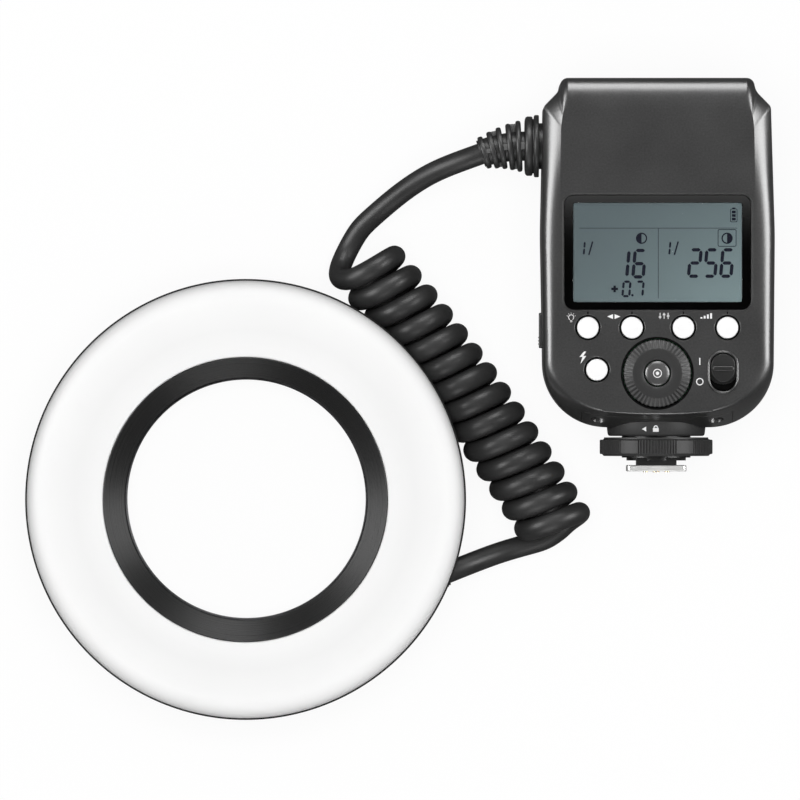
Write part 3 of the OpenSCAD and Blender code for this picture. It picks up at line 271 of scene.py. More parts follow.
# near-black, dull copy for steel screws: painted shade of the recesses they sit in
screwShadeBlack = smoothFinish("screwShadeBlack", 0.016, 0.024, 0.45, Specular_IOR_Level=0.08)
contactGold = metalFinish("contactGold", (0.85, 0.68, 0.36), 0.26)
brightSheet = metalFinish("brightSheet", (0.88, 0.88, 0.88), 0.18)
boardGreen = mouldedPlastic("boardGreen", (0.012, 0.085, 0.03), (0.02, 0.12, 0.05), 0.4)
lampGlass = smoothFinish("lampGlass", (0.85, 0.9, 0.92), (0.88, 0.93, 0.95), 0.06, Alpha=0.4)
siliconePale = rubberFinish("siliconePale", 0.5, 0.6, 0.5)
capSleeve = smoothFinish("capSleeve", (0.012, 0.013, 0.03), (0.02, 0.02, 0.045), 0.25)
copperTape = metalFinish("copperTape", (0.7, 0.42, 0.2), 0.4)
plainWhite = mouldedPlastic("plainWhite", 0.75, 0.82, 0.45)
smokedRed = smoothFinish("smokedRed", (0.035, 0.003, 0.003), (0.05, 0.005, 0.005), 0.08)
print("stage: finishes")


# mesh helpers

def pieceFrom(name, points, faces, place=None):
    spots = [Vector(p) for p in points]
    if place:
        spots = [place @ p for p in spots]
    mesh = bpy.data.meshes.new(name)
    mesh.from_pydata([p * mm for p in spots], [], faces)
    made = bpy.data.objects.new(name, mesh)
    bpy.context.collection.objects.link(made)
    return made


def stack(rings, closed=False):  # rings with as many points each, lowest first, counter-clockwise
    count = len(rings[0])
    points = [p for ring in rings for p in ring]
    faces = []
    for a in range(len(rings) - (0 if closed else 1)):
        b = (a + 1) % len(rings)
        for i in range(count):
            j = (i + 1) % count
            faces.append((a * count + i, a * count + j, b * count + j, b * count + i))
    if not closed:
        last = (len(rings) - 1) * count
        faces.append(tuple(range(count - 1, -1, -1)))
        faces.append(tuple(last + i for i in range(count)))
    return points, faces


def joined(*shapes):
    points, faces = [], []
    for more, sides in shapes:
        shift = len(points)
        points += [Vector(p) for p in more]
        faces += [tuple(i + shift for i in side) for side in sides]
    return points, faces


def moved(shape, place):
    points, faces = shape
    return [place @ Vector(p) for p in points], faces


def moveBy(x, y, z):
    return Matrix.Translation((x, y, z))


def spun(degrees, axis="Z"):
    return Matrix.Rotation(math.radians(degrees), 4, axis)


def heading(degrees):
    turn = math.radians(degrees)
    return Vector((math.cos(turn), math.sin(turn), 0))


def facing(spot, way):
    return Matrix.Translation(Vector(spot)) @ Vector(way).to_track_quat("Z", "Y").to_matrix().to_4x4()


def turnsRound(count):
    return [2 * math.pi * k / count for k in range(count)]


def quarter(steps):  # sine and cosine over a quarter turn
    turns = [math.pi / 2 * k / steps for k in range(steps + 1)]
    return [(math.sin(t), math.cos(t)) for t in turns]


def atLevel(line, z):
    return [(p[0], p[1], z) for p in line]


def cornerArc(a, b, c, radius, steps):
    if radius <= 0:
        return [b]
    u, v = (a - b).normalized(), (c - b).normalized()
    half = u.angle(v) / 2
    mid = b + (u + v).normalized() * radius / math.sin(half)
    start = b + u * radius / math.tan(half) - mid
    end = b + v * radius / math.tan(half) - mid
    low = math.atan2(start.y, start.x)
    sweep = (math.atan2(end.y, end.x) - low + 3 * math.pi) % (2 * math.pi) - math.pi
    turns = [low + sweep * k / steps for k in range(steps + 1)]
    return [mid + radius * Vector((math.cos(t), math.sin(t))) for t in turns]


def rounded(corners, fine=1):  # corners are x, y, radius and steps
    flat = [Vector(c[:2]) for c in corners]
    line = []
    for i, corner in enumerate(corners):
        steps = max(1, round(corner[3] * fine)) if len(corner) > 3 else 5
        line += cornerArc(flat[i - 1], flat[i], flat[(i + 1) % len(flat)], corner[2], steps)
    return line


def inset(corners, depth):
    grown = []
    for i, corner in enumerate(corners):
        a, b, c = (Vector(corners[k % len(corners)][:2]) for k in (i - 1, i, i + 1))
        m, n = (Vector((-(q - p).y, (q - p).x)).normalized() for p, q in ((a, b), (b, c)))
        spot = b + depth * (m + n) / (1 + m.dot(n))
        turn = (b - a).cross(c - b)
        radius = max(corner[2] - depth, 0.4) if turn > 0 else corner[2]
        grown.append((spot.x, spot.y, radius, corner[3]))
    return grown


def boxCorners(w, h, r, steps=8):
    return [(w / 2, -h / 2, r, steps), (w / 2, h / 2, r, steps),
            (-w / 2, h / 2, r, steps), (-w / 2, -h / 2, r, steps)]


def turnedShape(profile, segments=160, closed=True):
    turns = turnsRound(segments)
    return stack([[(r * math.cos(t), r * math.sin(t), z) for t in turns] for r, z in profile], closed)


def slab(w, h, r, low, high, edge=0.2, steps=8, under=0.0):
    rings = []

    def ring(d, z):
        rings.append(atLevel(rounded(boxCorners(w - 2 * d, h - 2 * d, max(r - d, 0.05), steps)), z))

    if under:
        for s, c in quarter(3):
            ring(under * (1 - s), low + under * (1 - c))
    else:
        ring(0, low)
    for s, c in quarter(4):
        ring(edge * (1 - c), high - edge * (1 - s))
    return stack(rings)


def frameShape(w, h, r, wide, low, high, edge=0.1, steps=8):  # a raised rim round an opening
    section = [(wide, low), (wide, high - edge), (wide - edge, high),
               (edge, high), (0, high - edge), (0, low)]
    rings = [atLevel(rounded(boxCorners(w + 2 * d, h + 2 * d, r + d, steps)), z) for d, z in section]
    return stack(rings, closed=True)


def prism(outline, low, high):
    return stack([atLevel(outline, low), atLevel(outline, high)])


def boxPrism(left, low, right, top, z):
    return prism([(left, low), (right, low), (right, top), (left, top)], *z)


def stroke(line, wide, low, high, closed=False):
    spots = [Vector(p) for p in line]
    count = len(spots)
    left, right = [], []
    for i, p in enumerate(spots):
        a = spots[i - 1] if i or closed else p
        b = spots[(i + 1) % count] if i < count - 1 or closed else p
        before = (p - a).normalized() if (p - a).length else (b - p).normalized()
        after = (b - p).normalized() if (b - p).length else before
        tangent = (before + after).normalized()
        side = Vector((-tangent.y, tangent.x)) * (wide / 2) / max(tangent.dot(after), 0.3)
        left.append(p + side)
        right.append(p - side)
    if closed:
        rings = [(right, low), (right, high), (left, high), (left, low)]
        return stack([atLevel(line, z) for line, z in rings], closed=True)
    return prism(right + left[::-1], low, high)


def circleLine(x, y, r, count=32, start=0.0, sweep=360.0):
    ends = 0 if sweep >= 360 else 1
    turns = [math.radians(start + sweep * k / count) for k in range(count + ends)]
    return [(x + r * math.cos(t), y + r * math.sin(t)) for t in turns]


def settle(made):  # what the modifiers make becomes the plain mesh
    depsgraph = bpy.context.evaluated_depsgraph_get()
    mesh = bpy.data.meshes.new_from_object(made.evaluated_get(depsgraph), depsgraph=depsgraph)
    made.modifiers.clear()
    made.data = mesh
    return made


def combine(made, shape, operation="DIFFERENCE"):
    tool = pieceFrom("tool", *shape)
    step = made.modifiers.new("cut", "BOOLEAN")
    step.object, step.operation, step.solver = tool, operation, "EXACT"
    settle(made)
    bpy.data.objects.remove(tool)
    return made


def bevelled(made, width, segments=2, angle=40):
    step = made.modifiers.new("edge", "BEVEL")
    step.width, step.segments = width * mm, segments
    step.limit_method, step.angle_limit = "ANGLE", math.radians(angle)
    return settle(made)


def shaded(made, angle=35, weighted=False):
    made.data.shade_smooth()
    made.data.set_sharp_from_angle(angle=math.radians(angle))
    if weighted:
        step = made.modifiers.new("normals", "WEIGHTED_NORMAL")
        step.keep_sharp, step.weight = True, 100
        settle(made)
    return made


def place(made, body, slotName, finish, *replaced):
    made.data.materials.clear()
    made.data.materials.append(finish)
    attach(made, body)
    if replaced:
        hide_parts(*replaced)
    return made


def shifted(piece, by):
    piece.data.transform(Matrix.Translation(by * mm))
    return piece


def dressed(name, shape, at, angle, body, slotName, finish, *replaced):
    return place(shaded(pieceFrom(name, *shape, at), angle), body, slotName, finish, *replaced)


def block(low, high):
    (x, y, z), (u, v, w) = low, high
    return boxPrism(x, y, u, v, (z, w))


def drum(spot, way, radius, length, segments=48):  # a cylinder from a point along a direction
    return moved(turnedShape([(radius, 0), (radius, length)], segments, False), facing(spot, way))


# geometry node trees for what repeats

def newTree(name, inputs):
    tree = bpy.data.node_groups.new(name, "GeometryNodeTree")
    tree.interface.new_socket("Shape", in_out="INPUT", socket_type="NodeSocketGeometry")
    for label, kind in inputs:
        tree.interface.new_socket(label, in_out="INPUT", socket_type="NodeSocket" + kind)
    tree.interface.new_socket("Shape", in_out="OUTPUT", socket_type="NodeSocketGeometry")
    wire = Wire(tree)
    given = tree.nodes.new("NodeGroupInput")
    return tree, wire, {s.name: Wire(tree, s) for s in given.outputs if s.name}


def endTree(wire, instances, material):
    solid = wire.node("GeometryNodeRealizeInstances", {0: instances})
    solid = wire.node("GeometryNodeSetMaterial", {"Geometry": solid, "Material": material})
    last = wire.tree.nodes.new("NodeGroupOutput")
    wire.tree.links.new(solid.socket, last.inputs[0])


def grown(made, tree, **values):
    step = made.modifiers.new("grow", "NODES")
    step.node_group = tree
    for item in tree.interface.items_tree:
        if item.in_out == "INPUT" and item.name in values:
            step[item.identifier] = values[item.name]
    return settle(made)


def roundTree():  # copies of one ridge round the Z axis, in runs with gaps between them
    tree, wire, given = newTree("ridgesRound", [
        ("Count", "Int"), ("Period", "Int"), ("Run", "Int"), ("Turn", "Float"), ("Finish", "Material")])
    dots = wire.node("GeometryNodeMeshCircle", {"Vertices": given["Count"], "Radius": 0.0})
    index = wire.node("GeometryNodeInputIndex")
    angle = index * (2 * math.pi) / given["Count"] + given["Turn"]
    turn = wire.node("ShaderNodeCombineXYZ", {"Z": angle})
    chosen = wire.node("FunctionNodeCompare", {
        2: index.maths("MODULO", index, given["Period"]), 3: given["Run"]},
        data_type="INT", operation="LESS_THAN")
    copies = wire.node("GeometryNodeInstanceOnPoints", {
        "Points": dots, "Selection": chosen, "Instance": given["Shape"], "Rotation": turn})
    endTree(wire, copies, given["Finish"])
    return tree


def rowTree():  # copies of one rib along a line
    tree, wire, given = newTree("ribsInRow", [("Count", "Int"), ("Step", "Vector"), ("Finish", "Material")])
    dots = wire.node("GeometryNodeMeshLine", {"Count": given["Count"], "Offset": given["Step"]})
    copies = wire.node("GeometryNodeInstanceOnPoints", {"Points": dots, "Instance": given["Shape"]})
    endTree(wire, copies, given["Finish"])
    return tree


def arcTree():  # copies of one rib along an arc in XY, shrinking from the first to the last
    tree, wire, given = newTree("ribsOnArc", [
        ("Count", "Int"), ("Radius", "Float"), ("Start", "Float"), ("Step", "Float"),
        ("First", "Float"), ("Shrink", "Float"), ("Finish", "Material")])
    dots = wire.node("GeometryNodeMeshLine", {"Count": given["Count"], "Offset": (0, 0, 0)})
    index = wire.node("GeometryNodeInputIndex")
    angle = given["Start"] + index * given["Step"]
    spot = wire.node("ShaderNodeCombineXYZ", {
        "X": angle.maths("COSINE", angle) * given["Radius"],
        "Y": angle.maths("SINE", angle) * given["Radius"]})
    dots = wire.node("GeometryNodeSetPosition", {"Geometry": dots, "Position": spot})
    size = given["First"] - index * given["Shrink"]
    scale = wire.node("ShaderNodeCombineXYZ", {"X": size, "Y": 1.0, "Z": size})
    turn = wire.node("ShaderNodeCombineXYZ", {"Z": angle})
    copies = wire.node("GeometryNodeInstanceOnPoints", {
        "Points": dots, "Instance": given["Shape"], "Rotation": turn, "Scale": scale})
    endTree(wire, copies, given["Finish"])
    return tree


def spotTree():  # one copy of an object on each vertex
    tree, wire, given = newTree("setAtSpots", [("Item", "Object"), ("Finish", "Material")])
    item = wire.node("GeometryNodeObjectInfo", {"Object": given["Item"]}, out="Geometry")
    copies = wire.node("GeometryNodeInstanceOnPoints", {"Points": given["Shape"], "Instance": item})
    endTree(wire, copies, given["Finish"])
    return tree


ridgesRound, ribsInRow, ribsOnArc, setAtSpots = roundTree(), rowTree(), arcTree(), spotTree()


def atSpots(name, shape, spots, finish, turn=None):
    item = pieceFrom("item", *(moved(shape, turn) if turn else shape))
    made = pieceFrom(name, spots, [])
    grown(made, setAtSpots, Item=item, Finish=finish)
    bpy.data.objects.remove(item)
    return made


# cord: one tube from the strain relief through the curls to the head

cord = dict(
    diameter=6.7, curlWide=24.0, turns=13.5, ease=0.02, leanSide=0.05, leanUp=0.06, leanFirst=0.05,
    curlFrom=(37.2, 74.0), curlBy=(70.4, 35.4), curlTo=(97.0, -8.4), lead=-0.23, tail=0.15,
    bootEnd=(73.5192, 108.0877, 26.0), bootTurn=20.0, glandEnd=(62.8468, -23.2322, 12.0), glandTurn=22.6,
    upperWay=[(66, 105.4, 24.2), (58.4, 102.4, 20.2), (50.6, 97.6, 15)], upperJoint=(43.2, 91.8, 9.8),
    leadIn=[(35.5, 84.8, 6.4), (31.5, 77.7, 4.4), (28.7, 70.9, 9.0), (30.5, 68.2, 15.2)],
    leadOut=[(95.1, -12.5, 3.5)], lowerJoint=(84.4, -15.3, 3.5),
    lowerWay=[(76.4, -18, 5.8), (69, -20.8, 10.4)],
    perCurl=40, perSpot=8, passes=30, held=5, lift=0.1, sides=28)


def cordRoute(c):
    radius = (c["curlWide"] - c["diameter"]) / 2
    height = c["curlWide"] / 2 + c["lift"]
    a, b, d = (Vector(c[k]) for k in ("curlFrom", "curlBy", "curlTo"))

    def curl(n):
        x = n / c["turns"]
        t = (1 - c["ease"]) * x + c["ease"] * (1 - (1 - x) ** 4)
        along = ((1 - t) * (b - a) + t * (d - b)).normalized()
        turn = math.radians(180 - 360 * n)
        side, up = radius * math.cos(turn), radius * math.sin(turn)
        lean = c["leanUp"] + c["leanFirst"] * max(0, 1 - max(n, 0) / 1.8) ** 2
        p = (1 - t) ** 2 * a + 2 * t * (1 - t) * b + t * t * d
        p += side * Vector((-along.y, along.x)) + (c["leanSide"] * side + lean * up) * along
        return Vector((p.x, p.y, height + up))

    def curlWay(n):
        return (curl(n + 0.002) - curl(n - 0.002)).normalized()

    def stretch(first, firstWay, spots, last, lastWay):
        steps = c["perSpot"]
        spots = [Vector(p) for p in spots]
        line = [spots[0] - firstWay * 2 * (spots[0] - first).length, first, *spots, last]
        line.append(spots[-1] + lastWay * 2 * (last - spots[-1]).length)
        out = []
        for i in range(1, len(line) - 2):
            p, q, r, s = line[i - 1:i + 3]
            for k in range(steps):
                t = k / steps
                out.append(0.5 * (2 * q + (r - p) * t + (2 * p - 5 * q + 4 * r - s) * t * t
                                  + (3 * q - p - 3 * r + s) * t ** 3))
        return out + [last]

    def relaxed(line):  # evens the bends out, but the end at the curls keeps its way
        held = c["held"]
        for k in range(c["passes"]):
            after = line[2:len(line) - held + 1]
            line[1:-held] = [(a + 2 * b + d) / 4 for a, b, d in zip(line, line[1:], after)]
        return line

    first, last = -c["lead"], c["turns"] + c["tail"]
    upper, lower = Vector(c["upperJoint"]), Vector(c["lowerJoint"])
    upperWay = (Vector(c["leadIn"][0]) - upper).normalized()
    lowerWay = (lower - Vector(c["leadOut"][0])).normalized()
    boot, gland = Vector(c["bootEnd"]), Vector(c["glandEnd"])
    bootWay, glandWay = -heading(c["bootTurn"]), -heading(c["glandTurn"])
    steps = round((last - first) * c["perCurl"])
    upperStart, lowerEnd = upper + upperWay * c["diameter"], lower - lowerWay * c["diameter"]
    head = stretch(boot, bootWay, c["upperWay"], upper, upperWay)
    head += stretch(upperStart, upperWay, c["leadIn"], curl(first), curlWay(first))
    curls = [curl(first + (last - first) * k / steps) for k in range(1, steps)]
    foot = stretch(curl(last), curlWay(last), c["leadOut"], lowerEnd, lowerWay)
    foot += stretch(lower, lowerWay, c["lowerWay"], gland, glandWay)
    return relaxed(head) + curls + relaxed(foot[::-1])[::-1], bootWay, glandWay


def tube(route, radius, sides, firstWay, lastWay):
    ways = [(after - before).normalized() for before, after in zip(route, route[2:])]
    rings, side = [], Vector((0, 0, 1))
    for p, ahead in zip(route, [firstWay, *ways, lastWay]):
        side = (side - ahead * side.dot(ahead)).normalized()
        other = ahead.cross(side)
        rings.append([p + radius * (math.cos(t) * side + math.sin(t) * other) for t in turnsRound(sides)])
    return stack(rings)


cordPath, cordStart, cordEnd = cordRoute(cord)
cordShape = tube(cordPath, cord["diameter"] / 2, cord["sides"], cordStart, cordEnd)
cordTube = dressed("cordTube", cordShape, None, 60, "flash", "cord_rubber", cordRubber,
                   "cord_upper", "cord_curls", "cord_lower")
cordLength = sum((b - a).length for a, b in zip(cordPath, cordPath[1:]))
cordPath[0] * mm
[p * mm for p in cordPath]
print("stage: cord", round(cordLength, 1))


# table and light

table = dict(half=3000.0, level=-0.05)
tableLine = [(x * table["half"], y * table["half"]) for x, y in ((-1, -1), (1, -1), (1, 1), (-1, 1))]
floor = pieceFrom("floor", atLevel(tableLine, table["level"]), [(0, 1, 2, 3)])


def floorFinish():
    material = bpy.data.materials.new("paleTable")
    material.use_nodes = True
    tree = material.node_tree
    tree.nodes.clear()
    wire = Wire(tree)
    pale = wire.node("ShaderNodeBsdfDiffuse", {"Color": grey(0.8)})
    dim = wire.node("ShaderNodeBsdfDiffuse", {"Color": grey(0.2)})
    white = wire.node("ShaderNodeEmission", {"Color": grey(1.0), "Strength": 1.02})
    bright = wire.node("ShaderNodeMixShader", {0: 0.9, 1: pale, 2: white})
    seen = wire.node("ShaderNodeLightPath", out="Is Camera Ray")
    both = wire.node("ShaderNodeMixShader", {0: seen, 1: dim, 2: bright})
    last = tree.nodes.new("ShaderNodeOutputMaterial")
    tree.links.new(both.socket, last.inputs["Surface"])
    return material


floor.data.materials.append(floorFinish())


def softLight(name, spot, target, size, watts, diffuse=True, glossy=True):
    lamp = bpy.data.lights.new(name, "AREA")
    lamp.shape, lamp.energy = "RECTANGLE", watts
    lamp.size, lamp.size_y = size[0] * mm, size[1] * mm
    made = bpy.data.objects.new(name, lamp)
    bpy.context.collection.objects.link(made)
    made.location = Vector(spot) * mm
    made.rotation_euler = (Vector(target) - Vector(spot)).to_track_quat("-Z", "Y").to_euler()
    made.visible_camera, made.visible_diffuse, made.visible_glossy = False, diffuse, glossy


softLight("overhead", (48, 60, 1500), (48, 40, 0), (900, 900), 15.2, glossy=False)
softLight("leftStrip", (-470, 150, 430), (110, 90, 40), (400, 420), 11.5, diffuse=False)
softLight("rightStrip", (700, 150, 430), (130, 90, 40), (400, 420), 11.5, diffuse=False)
softLight("topStrip", (120, 640, 430), (120, 60, 30), (400, 380), 8.5, diffuse=False)
softLight("lowStrip", (120, -580, 430), (120, 40, 30), (400, 380), 4, diffuse=False)

world = bpy.data.worlds.new("studio")
bpy.context.scene.world = world
world.use_nodes = True
world.cycles_visibility.glossy = False
worldTree = world.node_tree
worldTree.nodes.clear()
sky = Wire(worldTree)
seenSky = sky.node("ShaderNodeLightPath", out="Is Camera Ray")
backdrop = sky.node("ShaderNodeBackground", {"Color": grey(1.0), "Strength": seenSky * 0.6 + 0.4})
worldTree.links.new(backdrop.socket, worldTree.nodes.new("ShaderNodeOutputWorld").inputs["Surface"])
print("stage: table and light")


# head

head = dict(rimR=68.95, rearR=60.0, rearZ=6.3, wall=1.8, seatR=41.06, seatWall=2.0, seatZ=13.5,
            flareLow=9.0, flareTop=24.6, rimZ=27.6, pocket=1.6, lampR=53.0, postAngles=(45, 115, 245, 315),
            latchAngles=(90, 270), tabFrom=46.7, tabTo=53.2, gap=0.3, clawWide=8.0, screwZ=7.25)


def flare(lowR, highR, lowZ, highZ, u):
    turn = math.pi / 2 * u
    return lowR + (highR - lowR) * (1 - math.cos(turn)), lowZ + (highZ - lowZ) * math.sin(turn)


def headShape(h):
    rimR, rearR, rearZ, wall = h["rimR"], h["rearR"], h["rearZ"], h["wall"]
    rimZ, seatR, seatZ, low = h["rimZ"], h["seatR"], h["seatZ"], h["flareLow"]
    outer = [(seatR, rearZ), (58.2, rearZ), (59.0, rearZ + 0.12), (59.6, rearZ + 0.6), (59.9, rearZ + 1.5)]
    outer += [flare(rearR, rimR, low, h["flareTop"], k / 28) for k in range(29)]
    outer += [(rimR, 25.7), (rimR - 0.22, 25.85), (rimR - 0.22, 26.15), (rimR, 26.3)]  # a fine seam
    outer += [(rimR, rimZ - 0.2), (rimR - 0.15, rimZ), (rimR - wall, rimZ)]
    pocketZ, pocketR = rimZ - h["pocket"], rimR - wall - h["pocket"]
    inner = [(rimR - wall, pocketZ), (pocketR, pocketZ)]
    inner += [flare(rearR - wall, pocketR, low + wall, pocketZ, k / 12) for k in range(11, -1, -1)]
    floorZ, seat = rearZ + wall, seatR + h["seatWall"]
    inner += [(rearR - wall, floorZ), (seat, floorZ), (seat, seatZ), (seatR, seatZ)]
    return turnedShape(outer + inner, 240)


def headCuts(h):
    gap, wide = h["gap"], h["clawWide"] / 2 + h["gap"]
    slot = block((h["tabFrom"] - gap, -wide, 4), (h["tabTo"] + 2 + gap, wide, 8.6))
    cuts = [moved(slot, spun(turn)) for turn in h["latchAngles"]]
    for turn in h["postAngles"]:
        cuts.append(drum(spun(turn) @ Vector((h["lampR"], 0, 5)), up, 2.35, 2.2))
    return joined(*cuts)


headShell = combine(pieceFrom("headShell", *headShape(head)), headCuts(head))
place(shaded(headShell, 35), "flash", "charcoal_plastic", blackPlastic, "head_housing")

funnelPiece = dict(throatR=38.2, highR=44.15, lipR=44.4, lowZ=14.9, seatZ=13.5, topZ=34.4,
                   grooves=30, depth=0.06)


def funnelShape(f):
    throatR, highR, lipR = f["throatR"], f["highR"], f["lipR"]
    lowZ, seatZ, topZ = f["lowZ"], f["seatZ"], f["topZ"]
    back = [(throatR, seatZ), (42.86, seatZ), (42.86, lowZ), (40.2, lowZ + 1.5), (43.9, 27.0),
            (47.3, 30.6), (47.3, 32.0), (lipR, 32.0), (lipR, topZ - 0.15), (lipR - 0.1, topZ),
            (lipR - 0.2, topZ)]
    cone, highZ = [], topZ - 0.1
    for k in range(f["grooves"]):
        for share, sink in ((0.0, 0), (0.55, 0), (0.7, f["depth"]), (0.85, f["depth"])):
            u = (k + share) / f["grooves"]
            cone.append((highR + (throatR - highR) * u + sink, highZ + (lowZ - highZ) * u))
    return turnedShape(back + cone + [(throatR, lowZ)], 200)


dressed("funnelCone", funnelShape(funnelPiece), None, 30, "flash", "black_plastic", turnedBlack, "funnel")

lens = dict(edgeR=68.4, innerR=44.5, faceZ=34.0, rimZ=27.6, edge=5.5, thick=2.0, lip=0.5,
            pocketZ=26.15, pocketR=66.55, backR=65.2, backEdge=2.5)


def diffuserShape(d):
    edgeR, innerR, backR, pocketR = d["edgeR"], d["innerR"], d["backR"], d["pocketR"]
    faceZ, rimZ, edge, lip, back = d["faceZ"], d["rimZ"], d["edge"], d["lip"], d["backEdge"]
    outer = [(backR, d["pocketZ"]), (pocketR, d["pocketZ"]), (pocketR, rimZ), (edgeR - 0.1, rimZ),
             (edgeR, rimZ + 0.1)]
    outer += [(edgeR - edge * (1 - c), faceZ - edge * (1 - s)) for s, c in quarter(24)]
    outer += [(56, faceZ), (50, faceZ)]
    outer += [(innerR + lip * (1 - s), faceZ - lip * (1 - c)) for s, c in quarter(4)]
    low = faceZ - d["thick"]
    inner = [(backR - back * (1 - c), low - back * (1 - s)) for s, c in reversed(quarter(8))]
    return turnedShape([*outer, (innerR, low), *inner], 256)


dressed("diffuserLens", diffuserShape(lens), None, 40, "flash", "white_diffuser", frostedWhiteTubeShade, "diffuser")

adapter = dict(lensR=37.5, threadR=38.5, threadL=4.5, pitch=0.75, deep=0.4, flangeR=43.0, flangeZ=6.0,
               spigotR=41.0, topZ=13.0, grooveLow=7.95, grooveHigh=10.55, grooveDeep=1.1, lines=12)


def adapterShape(a):
    lensR, threadR, flangeR, spigotR = a["lensR"], a["threadR"], a["flangeR"], a["spigotR"]
    threadL, pitch, flangeZ, topZ = a["threadL"], a["pitch"], a["flangeZ"], a["topZ"]
    grooveLow, grooveHigh = a["grooveLow"], a["grooveHigh"]
    rootR, grooveR = threadR - a["deep"], spigotR - a["grooveDeep"]
    outer = [(lensR, 0.4), (lensR + 0.4, 0), (rootR, 0)]
    z = 0.3
    while z + pitch < threadL - 0.2:
        outer += [(rootR, z), (threadR, z + 0.3), (threadR, z + 0.4), (rootR, z + pitch - 0.02)]
        z += pitch
    outer += [(rootR, threadL), (flangeR - 0.2, threadL), (flangeR, threadL + 0.2), (flangeR, flangeZ - 0.2),
              (flangeR - 0.2, flangeZ), (spigotR, flangeZ), (spigotR, grooveLow), (grooveR, grooveLow),
              (grooveR, grooveHigh), (spigotR, grooveHigh), (spigotR, topZ - 0.3), (spigotR - 0.3, topZ),
              (lensR + 0.3, topZ), (lensR, topZ - 0.3)]
    for k in range(a["lines"]):
        low = topZ - 1 - k
        outer += [(lensR, low), (lensR + 0.12, low - 0.2), (lensR + 0.12, low - 0.4), (lensR, low - 0.5)]
    return turnedShape([p for p in outer if p[1] >= 0], 220)


dressed("adapterBand", adapterShape(adapter), None, 28, "adapter", "black_anodised", blackAnodised,
        "adapter_ring")

gland = dict(mouth=(58.6, -25.0, 12.0), turn=22.6, headR=55.5)
glandTurn = facing(gland["mouth"], heading(gland["turn"]))
glandLine = [(4.0, -5), (4.0, 0), (4.7, 0.02), (5.0, 0.25), (5.0, 1.0), (4.8, 1.2), (4.35, 1.25), (4.3, 1.7),
             (4.55, 1.9), (4.5, 2.5), (4.15, 2.65), (4.1, 2.95), (4.3, 3.15), (4.2, 3.7), (3.9, 3.9),
             (3.85, 4.15), (4.0, 4.3), (3.8, 4.6)]
dressed("headGland", turnedShape(glandLine, 64, False), glandTurn, 40, "flash", "black_rubber", blackRubber,
        "head_gland")
bossLine = [(5.6, -14), (5.6, -0.5), (5.45, -0.12), (5.1, 0), (4.15, 0), (4.15, -3), (4.15, -14)]
boss = combine(pieceFrom("glandBoss", *turnedShape(bossLine, 72), glandTurn),
               turnedShape([(gland["headR"], 0), (gland["headR"], 40)], 96, False))
place(shaded(boss, 35), "flash", "charcoal_plastic", charcoal)


def screwShape(radius, thick, length):
    low, arm, slot = thick - 0.35, radius * 0.6, 0.24
    line = [(0.9, -length), (0.9, -0.05), (radius - 0.12, -0.05), (radius, 0.05), (radius, low)]
    for k in range(1, 6):
        line.append((radius - 0.12 - (radius - 0.5) * k / 5, low + 0.35 * math.sin(math.pi / 2 * k / 5)))
    made = pieceFrom("screwBlank", *turnedShape(line, 40, False))
    for x, y in ((arm, slot), (slot, arm)):
        combine(made, block((-x, -y, thick - 0.55), (x, y, thick + 1)))
    shape = ([v.co / mm for v in made.data.vertices], [tuple(p.vertices) for p in made.data.polygons])
    bpy.data.objects.remove(made)
    return shape


def screws(name, shape, spots, turn, finish, node):
    place(shaded(atSpots(name, shape, spots, finish, turn), 35), "flash", "steel", finish, node)


faceDown = spun(180, "X")
screw = screwShape(2.2, 0.9, 4.6)
headSpots = [spun(t) @ Vector((head["lampR"], 0, head["screwZ"])) for t in head["postAngles"]]
screws("headScrews", screw, headSpots, faceDown, screwSteel, "head_screws")
print("stage: head")


# strain relief on the unit's left wall

boot = dict(wall=-36.6, y=86.9, z=26.0, start=-41.2, turnR=40.0, bend=20.0, ribs=5, thickR=8.0, tipR=5.2,
            coreR=4.6, coreLess=0.3, coreSteps=16, coreSides=40)
bootTurn = onUnit @ moveBy(boot["wall"], boot["y"], boot["z"]) @ spun(-90, "Y")
discLine = [(7.2, -4), (7.2, 0.1), (9.55, 0.1), (9.75, 0.35), (9.75, 1.3), (9.5, 1.62), (9.0, 1.72),
            (8.5, 1.75), (8.5, 2.0), (9.0, 2.1), (9.3, 2.45), (9.3, 3.7), (9.1, 4.15), (8.6, 4.45),
            (7.6, 4.6), (4.4, 4.62)]
dressed("bootDiscs", turnedShape(discLine, 96, False), bootTurn, 50, "flash", "black_rubber", blackRubber,
        "cable_boot")

arcCentre = onUnit @ moveBy(boot["start"], boot["y"] - boot["turnR"], boot["z"])
core = []
for k in range(boot["coreSteps"] + 1):
    share = k / boot["coreSteps"]
    out, radius = heading(90 + boot["bend"] * share), boot["coreR"] - boot["coreLess"] * share
    core.append([out * (boot["turnR"] + radius * math.cos(t)) + Vector((0, 0, radius * math.sin(t)))
                 for t in turnsRound(boot["coreSides"])])
dressed("bootCore", stack(core[::-1]), arcCentre, 50, "flash", "black_rubber", blackRubber)
pitch = math.radians(boot["bend"]) / boot["ribs"]
shrink = (boot["thickR"] - boot["tipR"]) / (boot["ribs"] - 1)


def alongBoot(name, shape, count, start, step, first, less, finish):  # start and step in ribs
    made = pieceFrom(name, *shape)
    grown(made, ribsOnArc, Count=count, Radius=boot["turnR"] * mm, Start=math.radians(90) + pitch * start,
          Step=pitch * step, First=first, Shrink=less, Finish=finish)
    return shifted(made, arcCentre.translation)


